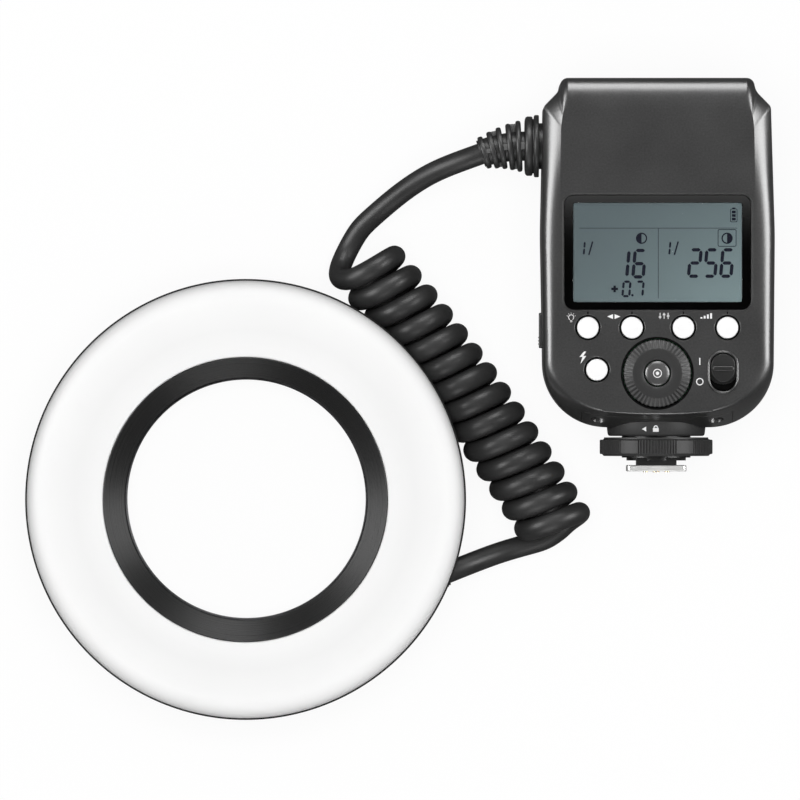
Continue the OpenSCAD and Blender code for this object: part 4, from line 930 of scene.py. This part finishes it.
ribLine = [(0.5, -0.85), (0.9, -0.85), (0.97, -0.7), (1.0, -0.3), (1.0, 0.3), (0.97, 0.7), (0.9, 0.85),
           (0.5, 0.85)]
bootRib = moved(turnedShape(ribLine, 72), spun(-90, "X"))
bootRibs = alongBoot("bootRibs", bootRib, boot["ribs"], 0.62, 0.98, boot["thickR"], shrink, blackRubber)
place(shaded(bootRibs, 40), "flash", "black_rubber", blackRubber)
linkBar = block((-0.14, -1.5, 0.6), (0.14, 1.5, 0.97))
for name, first, count, lean in (("bootLinksTop", 0, 3, 0), ("bootLinksSide", 1, 2, 90)):
    bars = joined(*(moved(linkBar, spun(lean + turn, "Y")) for turn in (180, 0)))
    size = boot["thickR"] - shrink * first
    # the links between the ribs get the lighter copy of the boot rubber: painted light
    links = alongBoot(name, bars, count, 0.14 + 0.98 * first, 1.96, size, 2 * shrink, litLinkRubber)
    place(shaded(bevelled(links, 0.15, 2), 40), "flash", "black_rubber", litLinkRubber)
print("stage: strain relief")


# control unit's shells

sideX, unitH, unitD, partZ = 36.6, 107.8, 50.0, 26.0
shell = dict(sideDrop=5.5, chinDrop=16.0, frontDrop=7.0, wall=2.0, fillet=1.0, fine=4, fill=8,
             topRings=18, frontRings=12, seam=0.28)
bendY = 0.55 * unitH
midTop = [(sideX - 1.2, unitH - 8.9, 2.4, 3), (sideX - 5.9, unitH - 4.1, 5, 4), (sideX - 6.8, unitH, 2.5, 3)]
midHalf = [(sideX - 0.5, -0.7, 20, 9), (sideX, bendY, 150, 2), *midTop]
midLeft = [(sideX - 1.4, -0.7, 20, 9), (sideX - 0.38, bendY, 150, 2), *midTop]  # leans in a little more
panelHalf = [(sideX - 4.0, 5.6, 18.5, 9), (sideX - 6.4, 0.45 * unitH, 150, 2),
             (sideX - 6.8, unitH - 15.8, 8, 3), (sideX - 7.1, unitH - 12.2, 5, 4),
             (sideX - 7.4, unitH - 9.8, 2.4, 3)]
frontHalf = [(sideX - 5, 6.4, 14, 9), (sideX - 5.1, bendY, 150, 2), (sideX - 6.2, unitH - 13, 8, 3),
             (sideX - 7.4, unitH - 8.6, 5, 4), (sideX - 8.8, unitH - 4.9, 2.6, 3)]


def whole(bottom, half, left=None):
    return [bottom, *half, *((-x, y, r, n) for x, y, r, n in reversed(left or half))]


midLoop = whole((0, -1.3, 220, 2), midHalf, midLeft)
panelLoop = whole((0, 2.0, 150, 2), panelHalf)
frontLoop = whole((0, 5.0, 220, 2), frontHalf)


def cornerSteps(corner):
    return max(1, round(corner[3] * shell["fine"]))


def filled(corners, values):  # more values along the straight stretches between the corners
    made, at = [], 0
    for corner in corners:
        made += values[at:at + cornerSteps(corner) + 1]
        at += cornerSteps(corner) + 1
        a, b = values[at - 1], values[at % len(values)]
        made += [a + (b - a) * k / shell["fill"] for k in range(1, shell["fill"])]
    return made


def shellLine(corners, depth):
    return filled(corners, rounded(inset(corners, depth), shell["fine"]))


def eased(u):
    return u * u * (3 - 2 * u)


def shares(corners):  # how far each point belongs to the chin and to the flat facet of an upper side
    chin, facet = [], []
    last = len(corners) - 1
    for i, corner in enumerate(corners):
        row = min(i, last + 1 - i)
        for k in range(cornerSteps(corner) + 1):
            u = k / cornerSteps(corner)
            u = u if i <= last / 2 else 1 - u
            chin.append(1 if i == 0 else 1 - eased(u) if row == 1 else 0)
            facet.append(1 if row in (3, 4) else 1 - u if row == 5 else 0)
    return filled(corners, chin), [eased(f) for f in filled(corners, facet)]


def chinLine(t, reach):  # straight up the chin, then a fillet on to the panel
    start, bend = 0.945, 0.7  # share of the way, and t, at which the fillet starts
    if t <= bend:
        return t / bend * start, t / bend * start
    q = (t - bend) / (1 - bend)
    up = (1 - q) ** 2 * start + 2 * q * (1 - q)
    return up + q * q * (1 + reach), up + q * q


def topRings(depth, count):
    mid, high = shellLine(midLoop, depth), shellLine(panelLoop, depth)
    chin, facet = shares(midLoop)
    rings = []
    for n in range(count + 1):
        t = n / count
        side = 0.6 * t * t * (1 - t) + t ** 3  # steep at the outline, then a long soft shoulder
        up = 1.8 * t * (1 - t) ** 2 + 3 * t * t * (1 - t) + t ** 3
        flatSide = 0.2 * t if t < 0.1 else 0.02 + (t - 0.1) / 0.9 * 0.98
        flatUp = 3.1 * t if t < 0.1 else 0.293 + 0.4 * flatSide + 0.307 * (1 - (1 - flatSide) ** 3)
        ring = []
        for p, q, w, f in zip(mid, high, chin, facet):
            base = unitD - shell["sideDrop"] - w * (shell["chinDrop"] - shell["sideDrop"])
            g, h = chinLine(t, shell["fillet"] / max((q - p).length, 1))
            s = p + (q - p) * ((1 - w - f) * side + w * g + f * flatSide)
            ring.append((s.x, s.y, base + (unitD - depth - base) * ((1 - w - f) * up + w * h + f * flatUp)))
        rings.append(ring)
    return rings


def frontRings(depth, count):
    mid, low = shellLine(midLoop, depth), shellLine(frontLoop, depth)
    rings = []
    for s, c in quarter(count):
        z = depth + (shell["frontDrop"] - depth) * (1 - c)
        rings.append([(*(p + (q - p) * (1 - s)), z) for p, q in zip(mid, low)])
    return rings


def levelRing(depth, z):
    return atLevel(shellLine(midLoop, depth), z)


def bodySolid(depth=0.0):
    return stack(frontRings(depth, shell["frontRings"]) + topRings(depth, shell["topRings"]))


def openShell(rings, seam, wallRings):  # outer rings from the seam on, then the inner ones back to it
    count = len(rings[0])
    points = [p for ring in rings + wallRings for p in ring]
    around = [(i, (i + 1) % count) for i in range(count)]
    other = len(rings) * count
    faces = []
    for rows, start, flip in ((rings, 0, False), (wallRings, other, True)):
        for a in range(start, start + (len(rows) - 1) * count, count):
            for i, j in around:
                quad = (a + i, a + j, a + count + j, a + count + i)
                faces.append(quad[::-1] if flip else quad)
        last = start + (len(rows) - 1) * count
        cap = tuple(range(last, last + count))
        faces.append(cap[::-1] if flip else cap)
    faces += [(j, i, other + i, other + j) for i, j in around]
    return points, [f[::-1] for f in faces] if seam < 0 else faces


panel = dict(windowY=53.4, windowW=58.0, windowH=35.6, windowT=1.6, windowR=3.0, viewW=52.6, viewH=31.0,
             keyX=(-21.7, -8.0, 8.0, 21.7), keyY=30.0, keyR=3.3, testAt=(-18.9, 16.9),
             dialAt=(-0.1, 15.8), dialR=10.6, powerAt=(20.4, 16.2), knobW=7.6, knobL=8.8, powerTravel=2.6,
             gap=0.3, setGap=0.15)
slotW = panel["knobW"] + 2 * panel["gap"]
slotL = panel["knobL"] + panel["powerTravel"] + 2 * panel["gap"]
slotR = slotW * 0.49
keySpots = [(x, panel["keyY"]) for x in panel["keyX"]] + [panel["testAt"]]


def outlinePrism(w, h, r, spot, low, high):
    return moved(prism(rounded(boxCorners(w, h, r)), low, high), moveBy(*spot, 0))


def panelCuts(p):
    middle, low, gap = (0, p["windowY"]), unitD - p["windowT"], p["gap"]
    cuts = [outlinePrism(p["windowW"] + gap, p["windowH"] + gap, p["windowR"] + gap / 2, middle, low, 60),
            outlinePrism(p["viewW"], p["viewH"], 1.5, middle, 40, low + 0.5)]
    cuts += [drum((*spot, 40), up, p["keyR"] + p["setGap"], 20, 64) for spot in keySpots]
    cuts.append(drum((*p["dialAt"], 40), up, p["dialR"] + gap, 20, 120))
    cuts.append(outlinePrism(slotW, slotL, slotR, p["powerAt"], 40, 60))
    return cuts


bracket = dict(wide=46.8, y=4.8, low=9.0, high=45.4, screws=(-18.4, 18.4), screwZ=41.0, collarR=15.6,
               stemR=10.75, gap=0.15)
battery = dict(y=42.3, h=42.0, z=3.5, t=20.2, outX=33.4)
port = dict(y=29.2, z=33.2, w=11.0, h=9.0, low=-1.1, thick=0.1)


def bracketBlock(gap=0.0):
    half = bracket["wide"] / 2 + gap
    return block((-half, -20, bracket["low"] - gap), (half, bracket["y"] + gap, bracket["high"] + gap))


def batteryBlock(inX, half, rise):
    low, high = battery["z"] - rise, battery["z"] + battery["t"] + rise
    return block((inX, battery["y"] - half, low), (60, battery["y"] + half, high))


bracketRoom = bracketBlock(bracket["gap"])
bootHole = drum((-45, boot["y"], boot["z"]), (1, 0, 0), 7.0, 14, 64)
portHole = block((-50, port["y"] - 4.6, port["z"] - 3.6), (-32.6, port["y"] + 3.6, port["z"] + 3.6))

wall, seam = shell["wall"], shell["seam"]
rearRings = [levelRing(seam, partZ + 0.02), levelRing(0, partZ + 0.3), *topRings(0, shell["topRings"])]
rearWall = [levelRing(wall, partZ + 0.02), levelRing(wall, 30.0), *topRings(wall, 8)]
rearShell = pieceFrom("rearShell", *openShell(rearRings, 1, rearWall))
windowCut, *otherCuts = panelCuts(panel)
for cut in (windowCut, joined(*otherCuts), bracketRoom, joined(bootHole, portHole)):
    combine(rearShell, cut)
place(shaded(shifted(rearShell, unitAt), 35, True), "flash", "charcoal_plastic", charcoal, "rear_housing")

batteryRoom = batteryBlock(battery["outX"] - 1, battery["h"] / 2 + 1.1, 0.9)
caseScrews = [(-14, 8), (14, 8), (-24, 101), (24, 101)]
sensor = dict(y=85.6, w=34.0, h=14.0, r=3.0, gap=0.3)
lowRings = frontRings(0, shell["frontRings"])[::-1]
frontOuter = [levelRing(seam, partZ - 0.02), levelRing(0, partZ - 0.3), *lowRings]
frontInner = [levelRing(wall, partZ - 0.02), *frontRings(wall, 6)[::-1]]
frontShell = pieceFrom("frontShell", *openShell(frontOuter, -1, frontInner))
recess = outlinePrism(sensor["w"] + sensor["gap"], sensor["h"] + sensor["gap"], sensor["r"],
                      (0, sensor["y"]), -1, 1.4)
screwHoles = [drum((*s, -1), up, 2.35, 2.5) for s in caseScrews]
for cut in (joined(batteryRoom, bootHole), bracketRoom, joined(recess, *screwHoles)):
    combine(frontShell, cut)
place(shaded(shifted(frontShell, unitAt), 35, True), "flash", "charcoal_plastic", charcoal, "front_housing")
print("stage: shells")


# display

onPanel = onUnit @ moveBy(0, panel["windowY"], 0)
inkZ = (49.3, 49.34)


def borderShape(p):
    outer = boxCorners(p["windowW"] - 0.1, p["windowH"] - 0.1, p["windowR"], 8)
    inner = boxCorners(p["viewW"], p["viewH"], 0.8, 8)
    section = [(outer, unitD - 1.4), (outer, unitD - 0.12), (inset(outer, 0.12), unitD),
               (inset(inner, -0.1), unitD), (inner, unitD - 0.1), (inner, unitD - 1.4)]
    return stack([atLevel(rounded(line), z) for line, z in section], closed=True)


viewW, viewH = panel["viewW"], panel["viewH"]
dressed("windowBorder", borderShape(panel), onPanel, 30, "flash", "window", bezelGlossSheen, "lcd_window")
pane = slab(viewW - 0.1, viewH - 0.1, 0.7, unitD - 0.5, unitD - 0.06, 0.05)
dressed("windowPane", pane, onPanel, 30, "flash", "window", paneClear)
glassPlate = slab(viewW - 0.2, viewH - 0.2, 0.5, 47.0, inkZ[0], 0.05)
dressed("displayGlass", glassPlate, onPanel, 30, "flash", "lcd", greyDisplayShaded, "lcd_panel")
rim = frameShape(panel["windowW"] + 0.3, panel["windowH"] + 0.3, panel["windowR"] + 0.1,
                 0.5, 49.7, 50.14, 0.14)
dressed("windowRim", rim, onPanel, 30, "flash", "charcoal_plastic", charcoal)

segmentLines = {  # a digit's seven bars on a grid of one by two
    "a": ((0, 2), (1, 2)), "b": ((1, 2), (1, 1)), "c": ((1, 1), (1, 0)), "d": ((0, 0), (1, 0)),
    "e": ((0, 1), (0, 0)), "f": ((0, 2), (0, 1)), "g": ((0, 1), (1, 1))}
digitBars = {"0": "abcdef", "1": "bc", "2": "abged", "5": "afgcd", "6": "afgedc", "7": "abc"}


def barShape(start, end, wide, low, high):
    a, b = Vector(start), Vector(end)
    along = (b - a).normalized()
    side = Vector((-along.y, along.x)) * wide / 2
    a, b = a + along * wide * 0.14, b - along * wide * 0.14
    tip = along * wide * 0.5
    return prism([a, a + tip - side, b - tip - side, b, b - tip + side, a + tip + side], low, high)


def digits(text, left, low, wide, tall, bar, step, lean=0.09):
    shapes, x = [], left
    for mark in text:
        if mark == ".":
            shapes.append(prism(circleLine(x, low + bar * 0.4, bar * 0.55, 12), *inkZ))
            x += step * 0.32
        elif mark == "+":
            midX, midY = x + wide * 0.4, low + tall * 0.5
            shapes.append(stroke([(midX - wide * 0.5, midY), (midX + wide * 0.5, midY)], bar, *inkZ))
            shapes.append(stroke([(midX, midY - tall * 0.23), (midX, midY + tall * 0.23)], bar, *inkZ))
            x += step * 1.05
        elif mark == "/":
            shapes.append(stroke([(x, low), (x + wide * 0.75, low + tall)], bar * 0.8, *inkZ))
            x += step
        else:
            for name in digitBars[mark]:
                ends = [(x + u * wide + lean * v * tall / 2, low + v * tall / 2)
                        for u, v in segmentLines[name]]
                shapes.append(barShape(*ends, bar, *inkZ))
            x += step
    return shapes


def displayMarks():
    shapes = digits("16", -12.8, 45.8, 3.2, 8.2, 1.05, 5.1)
    shapes += digits("+0.7", -14.2, 39.8, 2.1, 4.5, 0.72, 3.1)
    shapes += digits("256", 9.6, 46.0, 3.2, 8.2, 1.05, 5.0)

    def boxLine(x, y, w, h, r, wide):
        line = [(p.x + x, p.y + y) for p in rounded(boxCorners(w, h, r, 3))]
        shapes.append(stroke(line, wide, *inkZ, closed=True))

    for left in (-24.6, 2.0):
        shapes += digits("1/", left, 52.6, 1.6, 4.2, 0.6, 3.2)
    for x, start in ((-5.0, 90), (21.6, -90)):
        shapes.append(stroke(circleLine(x, 57.8, 1.55, 28), 0.4, *inkZ, closed=True))
        shapes.append(prism(circleLine(x, 57.8, 1.4, 16, start, 180), *inkZ))
    boxLine(21.6, 57.9, 5.6, 5.2, 0.4, 0.22)
    shapes.append(stroke([(-24.4, 60.95), (24.7, 60.95)], 0.16, *inkZ))
    shapes.append(stroke([(0.2, 60.9), (0.2, 39.2)], 0.16, *inkZ))
    boxLine(23.7, 64.9, 2.0, 4.0, 0.3, 0.2)
    shapes.append(boxPrism(23.2, 66.95, 24.2, 67.35, inkZ))
    for y in (63.35 + 1.1 * k for k in range(3)):
        shapes.append(boxPrism(23.1, y, 24.3, y + 0.85, inkZ))
    return joined(*shapes)


place(pieceFrom("displayMarks", *displayMarks(), onUnit), "flash", "lcd", segmentInk)
print("stage: display")


# keys, dial and power slider

keyLine = [(1.2, 43.5), (1.2, 46.4), (3.9, 46.4), (3.9, 47.3), (3.3, 47.35), (3.3, 50.66), (3.27, 50.75),
           (3.2, 50.81), (3.0, 50.84), (1.8, 50.86), (0.5, 50.88)]
keyShape = turnedShape(keyLine, 72, False)
for name, spot in zip(("key_1", "key_2", "key_3", "key_4", "test_key"), keySpots):
    dressed(name + "Cap", keyShape, onUnit @ moveBy(*spot, 0), 40, name, "white_keys", keyWhite, name)

wellSpots = [Vector((*s, 0)) + unitAt for s in keySpots]
# a near-black ring at the panel's face round each key: painted shade of the gap round the key
wellLine = [(3.4, 49.6), (3.95, 49.6), (3.95, 50.03), (3.4, 50.03)]
wells = atSpots("keyWells", turnedShape(wellLine, 72), wellSpots, grooveShade)
place(shaded(wells, 30), "flash", "black_plastic", grooveShade)
lipLine = [(3.95, 49.8), (4.25, 49.8), (4.2, 50.03), (4.1, 50.09), (3.98, 50.06)]
lips = atSpots("keyLips", turnedShape(lipLine, 72), wellSpots, charcoal)
place(shaded(lips, 60), "flash", "charcoal_plastic", charcoal)

dialMiddle = onUnit @ moveBy(*panel["dialAt"], 0)
dialLine = [(4.15, 46.5), (6.3, 46.5), (6.3, 47.1), (10.35, 47.1), (10.45, 47.2), (10.45, 49.9), (10.3, 50.1),
            (8.1, 50.95), (7.8, 51.15), (7.5, 51.2), (5.4, 51.1), (4.6, 51.0), (4.3, 50.85), (4.15, 50.6)]
dressed("dialBody", turnedShape(dialLine, 144), dialMiddle, 30, "dial", "dial_black", dialBlack, "dial")


def dialRidge():
    rings = []
    for r, z, half, tall in ((7.7, 51.0, 0.08, 0.16), (8.2, 50.86, 0.2, 0.36), (10.2, 50.1, 0.26, 0.42),
                             (10.5, 49.8, 0.26, 0.3), (10.58, 47.4, 0.24, 0.1)):
        low, wide, high = z - 0.1, half * 1.5, z + tall
        rings.append([(r, -wide, low), (r, wide, low), (r, half, high), (r, -half, high)])
    return stack(rings)


# the ridges get a lighter copy of the dial's black: painted highlight
dialRidges = pieceFrom("dialRidges", *dialRidge())
grown(dialRidges, ridgesRound, Count=46, Period=1, Run=1, Turn=0.0, Finish=litRidgeGrey)
place(shaded(shifted(dialRidges, dialMiddle.translation), 30), "dial", "dial_black", litRidgeGrey)
# a near-black ring at the panel's face round the dial: painted shade of the gap round the dial
wellRing = turnedShape([(10.85, 49.4), (11.35, 49.4), (11.35, 50.03), (10.85, 50.03)], 144)
dressed("dialWell", wellRing, dialMiddle, 30, "flash", "black_plastic", grooveShade)

setKey = dict(radius=3.85, low=51.05, dome=0.75)
domeLine = [(1.6, 43.6), (1.6, 47.2), (setKey["radius"], 47.2)]
domeLine += [(max(setKey["radius"] * c, 0.05), setKey["low"] + setKey["dome"] * s) for s, c in quarter(8)]
# the set key gets a lighter copy of the dial's black: painted light
dressed("setCap", turnedShape(domeLine, 72, False), dialMiddle, 40, "set_key", "dial_black", litSetGrey,
        "set_key")
dotMark = joined(prism(circleLine(0, 0, 0.55, 24), 51.72, 51.83),
                 stroke(circleLine(0, 0, 1.25, 40), 0.28, 51.6, 51.79, closed=True))
place(pieceFrom("setMark", *dotMark, dialMiddle), "set_key", "dial_black", inkWhite)

powerMiddle = onUnit @ moveBy(*panel["powerAt"], 0)
powerRim = frameShape(slotW, slotL, slotR, 0.8, 49.6, 50.6, 0.28)
dressed("powerRim", powerRim, powerMiddle, 50, "flash", "charcoal_plastic", charcoal)
# a near-black plate on the floor of the power slot: painted shade in the slot
powerWell = slab(9.8, 13.6, 4.6, 46.2, 46.6, 0.05)
dressed("powerWell", powerWell, powerMiddle, 40, "flash", "black_plastic", grooveShade)
knobMiddle = powerMiddle @ moveBy(0, panel["powerTravel"] / 2, 0)
knobW = panel["knobW"]
knobShape = joined(slab(9.2, 10.4, 4.4, 46.85, 47.85, 0.1),
                   slab(knobW, panel["knobL"], knobW * 0.49, 47.5, 50.1, 0.3),
                   moved(slab(knobW - 1.0, 1.5, 0.5, 49.9, 50.88, 0.3), moveBy(0, -0.2, 0)))
dressed("powerSlider", knobShape, knobMiddle, 40, "power_knob", "black_plastic", blackPlastic, "power_knob")
print("stage: keys")


# printed marks and small grooves on the panel

def panelMarks():
    z = (49.98, 50.03)
    x, y = -26.9, 33.2  # the lamp icon's middle
    shapes = [stroke(circleLine(x, y, 0.8, 30, -60, 300), 0.2, *z)]
    shapes += [stroke([(x - 0.35, low), (x + 0.35, low)], 0.17, *z) for low in (32.15, 31.82)]
    for ray in (heading(20 + 35 * k) for k in range(5)):
        shapes.append(stroke([(x + ray.x * r, y + ray.y * r) for r in (1.15, 1.45)], 0.15, *z))
    shapes.append(prism([(-15.7, 33.45), (-13.9, 34.2), (-13.9, 32.7)], *z))
    shapes.append(prism([(-13.4, 32.7), (-13.4, 34.2), (-11.6, 33.45)], *z))
    for x, y in ((0.75, 33.3), (2.0, 34.1), (3.25, 33.6)):
        shapes.append(stroke([(x, 32.75), (x, 34.6)], 0.24, *z))
        shapes.append(prism(circleLine(x, y, 0.4, 16), *z))
    for k in range(4):
        shapes.append(boxPrism(13.3 + k, 32.8, 13.9 + k, 33.3 + 0.4 * k, z))
    bolt = [(-22.9, 22.6), (-24.3, 20.9), (-23.4, 20.9), (-24.0, 18.7), (-22.2, 21.2), (-23.1, 21.2),
            (-22.2, 22.6)]
    shapes.append(prism(bolt, *z))
    shapes.append(stroke([(13.1, 18.4), (13.1, 20.6)], 0.34, *z))
    shapes.append(stroke(circleLine(13.1, 13.2, 1.0, 28), 0.3, *z, closed=True))
    return joined(*shapes)


place(pieceFrom("panelMarks", *panelMarks(), onUnit), "flash", "white_keys", inkWhite)
# near-black strokes above the keys for small grooves: painted shade in the grooves
ticks = joined(*(stroke([(x, 33.9), (x, 35.5)], 0.42, 49.9, 50.04) for x in panel["keyX"]))
place(pieceFrom("keyTicks", *ticks, onUnit), "flash", "black_plastic", grooveShade)
print("stage: panel marks")


# left wall: socket cover

coverTurn = onUnit @ moveBy(-36.65, port["y"], port["z"]) @ spun(-90, "Y")
coverRib = slab(5.6, 0.45, 0.2, port["thick"] - 0.1, port["thick"] + 0.18, 0.1)
cover = joined(slab(port["h"], port["w"], 0.8, port["low"], port["thick"], 0.3),
               slab(6.2, 7.2, 0.8, -1.2, 0, 0.1),
               *(moved(coverRib, moveBy(0, -4.2 + k, 0)) for k in range(3)))
dressed("socketCover", cover, coverTurn, 40, "port_cover", "black_rubber", blackRubber, "port_cover")


# battery cap and its release on the right wall

capPiece = pieceFrom("batteryDoor", *bodySolid(-0.6))
combine(capPiece, batteryBlock(battery["outX"], battery["h"] / 2 + 0.6, 0.6), "INTERSECT")
combine(capPiece, batteryBlock(sideX - 1.2, 9.5, -4.5))
bevelled(capPiece, 0.25, 2)
place(shaded(shifted(capPiece, unitAt), 40, True), "battery", "charcoal_plastic", charcoal, "battery_cap")
releaseMiddle = moveBy(sideX - 1.15, battery["y"] + 1.5, battery["z"] + battery["t"] / 2)
releaseTurn = onUnit @ releaseMiddle @ spun(90, "Y")
releasePlate = slab(battery["t"] - 9.6, 15.4, 0.8, 0, 1.25, 0.25)
dressed("releaseSlider", releasePlate, releaseTurn, 40, "battery_release", "black_plastic", blackPlastic,
        "battery_release")
releaseRib = slab(battery["t"] - 12, 1.0, 0.4, 1.15, 1.65, 0.25)
releaseRibs = pieceFrom("releaseRibs", *releaseRib, releaseTurn @ moveBy(0, -5.0, 0))
grown(releaseRibs, ribsInRow, Count=5, Step=(0, 2.4 * mm, 0), Finish=blackPlastic)
place(shaded(releaseRibs, 40), "battery_release", "black_plastic", blackPlastic)


# front face, which lies on the table

sensorPlate = slab(sensor["w"], sensor["h"], sensor["r"], 0.4, 1.4, 0.1, under=0.3)
sensorAt = onUnit @ moveBy(0, sensor["y"], 0)
dressed("sensorPlate", sensorPlate, sensorAt, 30, "flash", "dark_red_window", smokedRed, "sensor_window")
frontSpots = [Vector((*s, 1.4)) + unitAt for s in caseScrews]
screws("caseScrews", screw, frontSpots, faceDown, screwSteel, "case_screws_set")


# foot

faceFoot = spun(90, "X")


def downFoot(y):
    return onUnit @ moveBy(0, y, partZ) @ faceFoot


def footHole(radius, y, length):
    line = [(radius + bracket["gap"], 0), (radius + bracket["gap"], length)]
    return moved(turnedShape(line, 96, False), onUnit.inverted() @ downFoot(y))


bracketPiece = pieceFrom("footBracket", *bodySolid())
combine(bracketPiece, bracketBlock(), "INTERSECT")
screwRooms = [drum((x, 3.6, bracket["screwZ"]), (0, -1, 0), 2.35, 9, 40) for x in bracket["screws"]]
for cut in (footHole(bracket["collarR"], 1, 9), footHole(bracket["stemR"], bracket["y"] + 1, 20),
            joined(*screwRooms)):
    combine(bracketPiece, cut)
bevelled(bracketPiece, 0.22, 2)
place(shaded(shifted(bracketPiece, unitAt), 40, True), "flash", "charcoal_plastic", charcoal, "foot_bracket")
footSpots = [Vector((x, 3.55, bracket["screwZ"])) + unitAt for x in bracket["screws"]]
# the foot's steel screws drawn near-black and dull: painted shade of their recesses
screws("bracketScrews", screwShape(2.2, 0.9, 2), footSpots, faceFoot, screwShadeBlack, "bracket_screws_set")

collarLine = [(10.9, 0), (15.4, 0), (15.6, 0.2), (15.55, 0.9), (15.45, 1.9), (15.2, 4.05), (15.1, 4.3),
              (14.85, 4.62), (14.5, 4.75), (10.9, 4.75)]
dressed("footCollar", turnedShape(collarLine, 160), downFoot(1), 35, "flash", "black_plastic", ringGrey,
        "foot_collar")


def collarMarks():  # an arrow and a closed lock, bent round the collar
    turns = [math.radians(a) for a in range(0, 181, 20)]
    bow = [(-0.4 + 0.55 * math.cos(t), 0.4 + 0.6 * math.sin(t)) for t in turns]
    flat = [prism([(-4.8, 0), (-3.4, 0.75), (-3.4, -0.75)], 0, 1), boxPrism(-1.3, -0.85, 0.5, 0.35, (0, 1)),
            stroke(bow, 0.3, 0, 1)]
    bent = []
    points, faces = joined(*flat)
    for p in points:
        turn = p.x / 15.3
        radius = 15.37 + 0.06 * p.z + 0.12 * p.y
        bent.append((radius * math.sin(turn), -1.55 + p.y, radius * math.cos(turn)))
    return bent, faces


place(pieceFrom("collarMarks", *collarMarks(), onUnit @ moveBy(0, 0, partZ)), "flash", "white_keys", inkWhite)

ringAt = downFoot(-4.8)
ringLine = [(10.81, -0.6), (16.3, -0.6), (16.35, -0.1), (16.7, 0.0), (17.05, 0.3), (17.05, 4.5), (16.7, 4.9),
            (16.4, 5.2), (10.81, 5.2)]
dressed("lockBand", turnedShape(ringLine, 180), ringAt, 35, "lock_ring", "ring_grey", ringGrey, "lock_ring")


def ringPad():
    section = [(16.9, 0.1), (17.45, 0.1), (17.65, 0.35), (17.65, 4.35), (17.45, 4.6), (16.9, 4.6)]
    ways = [heading(a) for a in range(-10, 11, 2)]
    points = [(r * way.x, r * way.y, z) for r, z in section for way in ways]
    count, starts, faces = len(ways), range(0, len(points), len(ways)), []
    for a in starts:
        b = (a + count) % len(points)
        faces += [(a + i, a + i + 1, b + i + 1, b + i) for i in range(count - 1)]
    faces.append(tuple(starts))
    faces.append(tuple(a + count - 1 for a in starts)[::-1])
    return points, faces


turnBand = Matrix.Translation(ringAt.translation * mm) @ ringAt.to_3x3().to_4x4()
ridge = stack([[(16.9, -0.3, z), (17.6, -0.16, z), (17.6, 0.16, z), (16.9, 0.3, z)] for z in (0.2, 4.5)])
for name, shape, count, period, run, start, angle in (
        ("lockPads", ringPad(), 6, 1, 1, 90 + 30, 35), ("lockRidges", ridge, 120, 20, 13, 90 - 18, 25)):
    made = pieceFrom(name, *shape)
    grown(made, ridgesRound, Count=count, Period=period, Run=run, Turn=math.radians(start), Finish=ringGrey)
    made.data.transform(turnBand)
    place(shaded(made, angle), "lock_ring", "ring_grey", ringGrey)

plateAt = downFoot(-12.9)
plate = pieceFrom("shoePlate", *slab(18.6, 18.0, 1.2, 0, 1.9, 0.3, under=0.3), plateAt)
pinHole = turnedShape([(1.06, -1), (1.06, 4)], 24, False)
combine(plate, joined(moved(slab(11.3, 11.3, 0.3, -1, 4, 0.01), plateAt),
                      moved(pinHole, plateAt @ moveBy(0, -7.2, 0))))
place(shaded(plate, 35, True), "flash", "shoe_metal", shoeMetal, "shoe_plate")
print("stage: foot")


# finishes of the pieces that keep their plain solids

inner = {
    brightSheet: ("reflector",),
    blackPlastic: ("lamp_carrier", "battery_sleeve", "battery_pack", "foot_stem"),
    lampGlass: ("flash_tube_a", "flash_tube_b"), siliconePale: ("tube_grommets",),
    boardGreen: ("lamp_boards", "head_board", "control_board", "power_board"),
    charcoal: ("latch_top", "latch_bottom"), plainWhite: ("lcd_holder",), capSleeve: ("capacitor",),
    copperTape: ("transformer",), contactGold: ("battery_contacts", "contact_pins"),
    screwSteel: ("tube_electrodes", "latch_spring_top", "latch_spring_bottom", "encoder", "slide_switch",
                 "key_switches", "board_screws", "port_socket", "lock_pin")}
for finish, names in inner.items():
    for name in names:
        nodes[name].data.materials.clear()
        nodes[name].data.materials.append(finish)
print("stage: inner pieces")


bpy.context.view_layer.update()
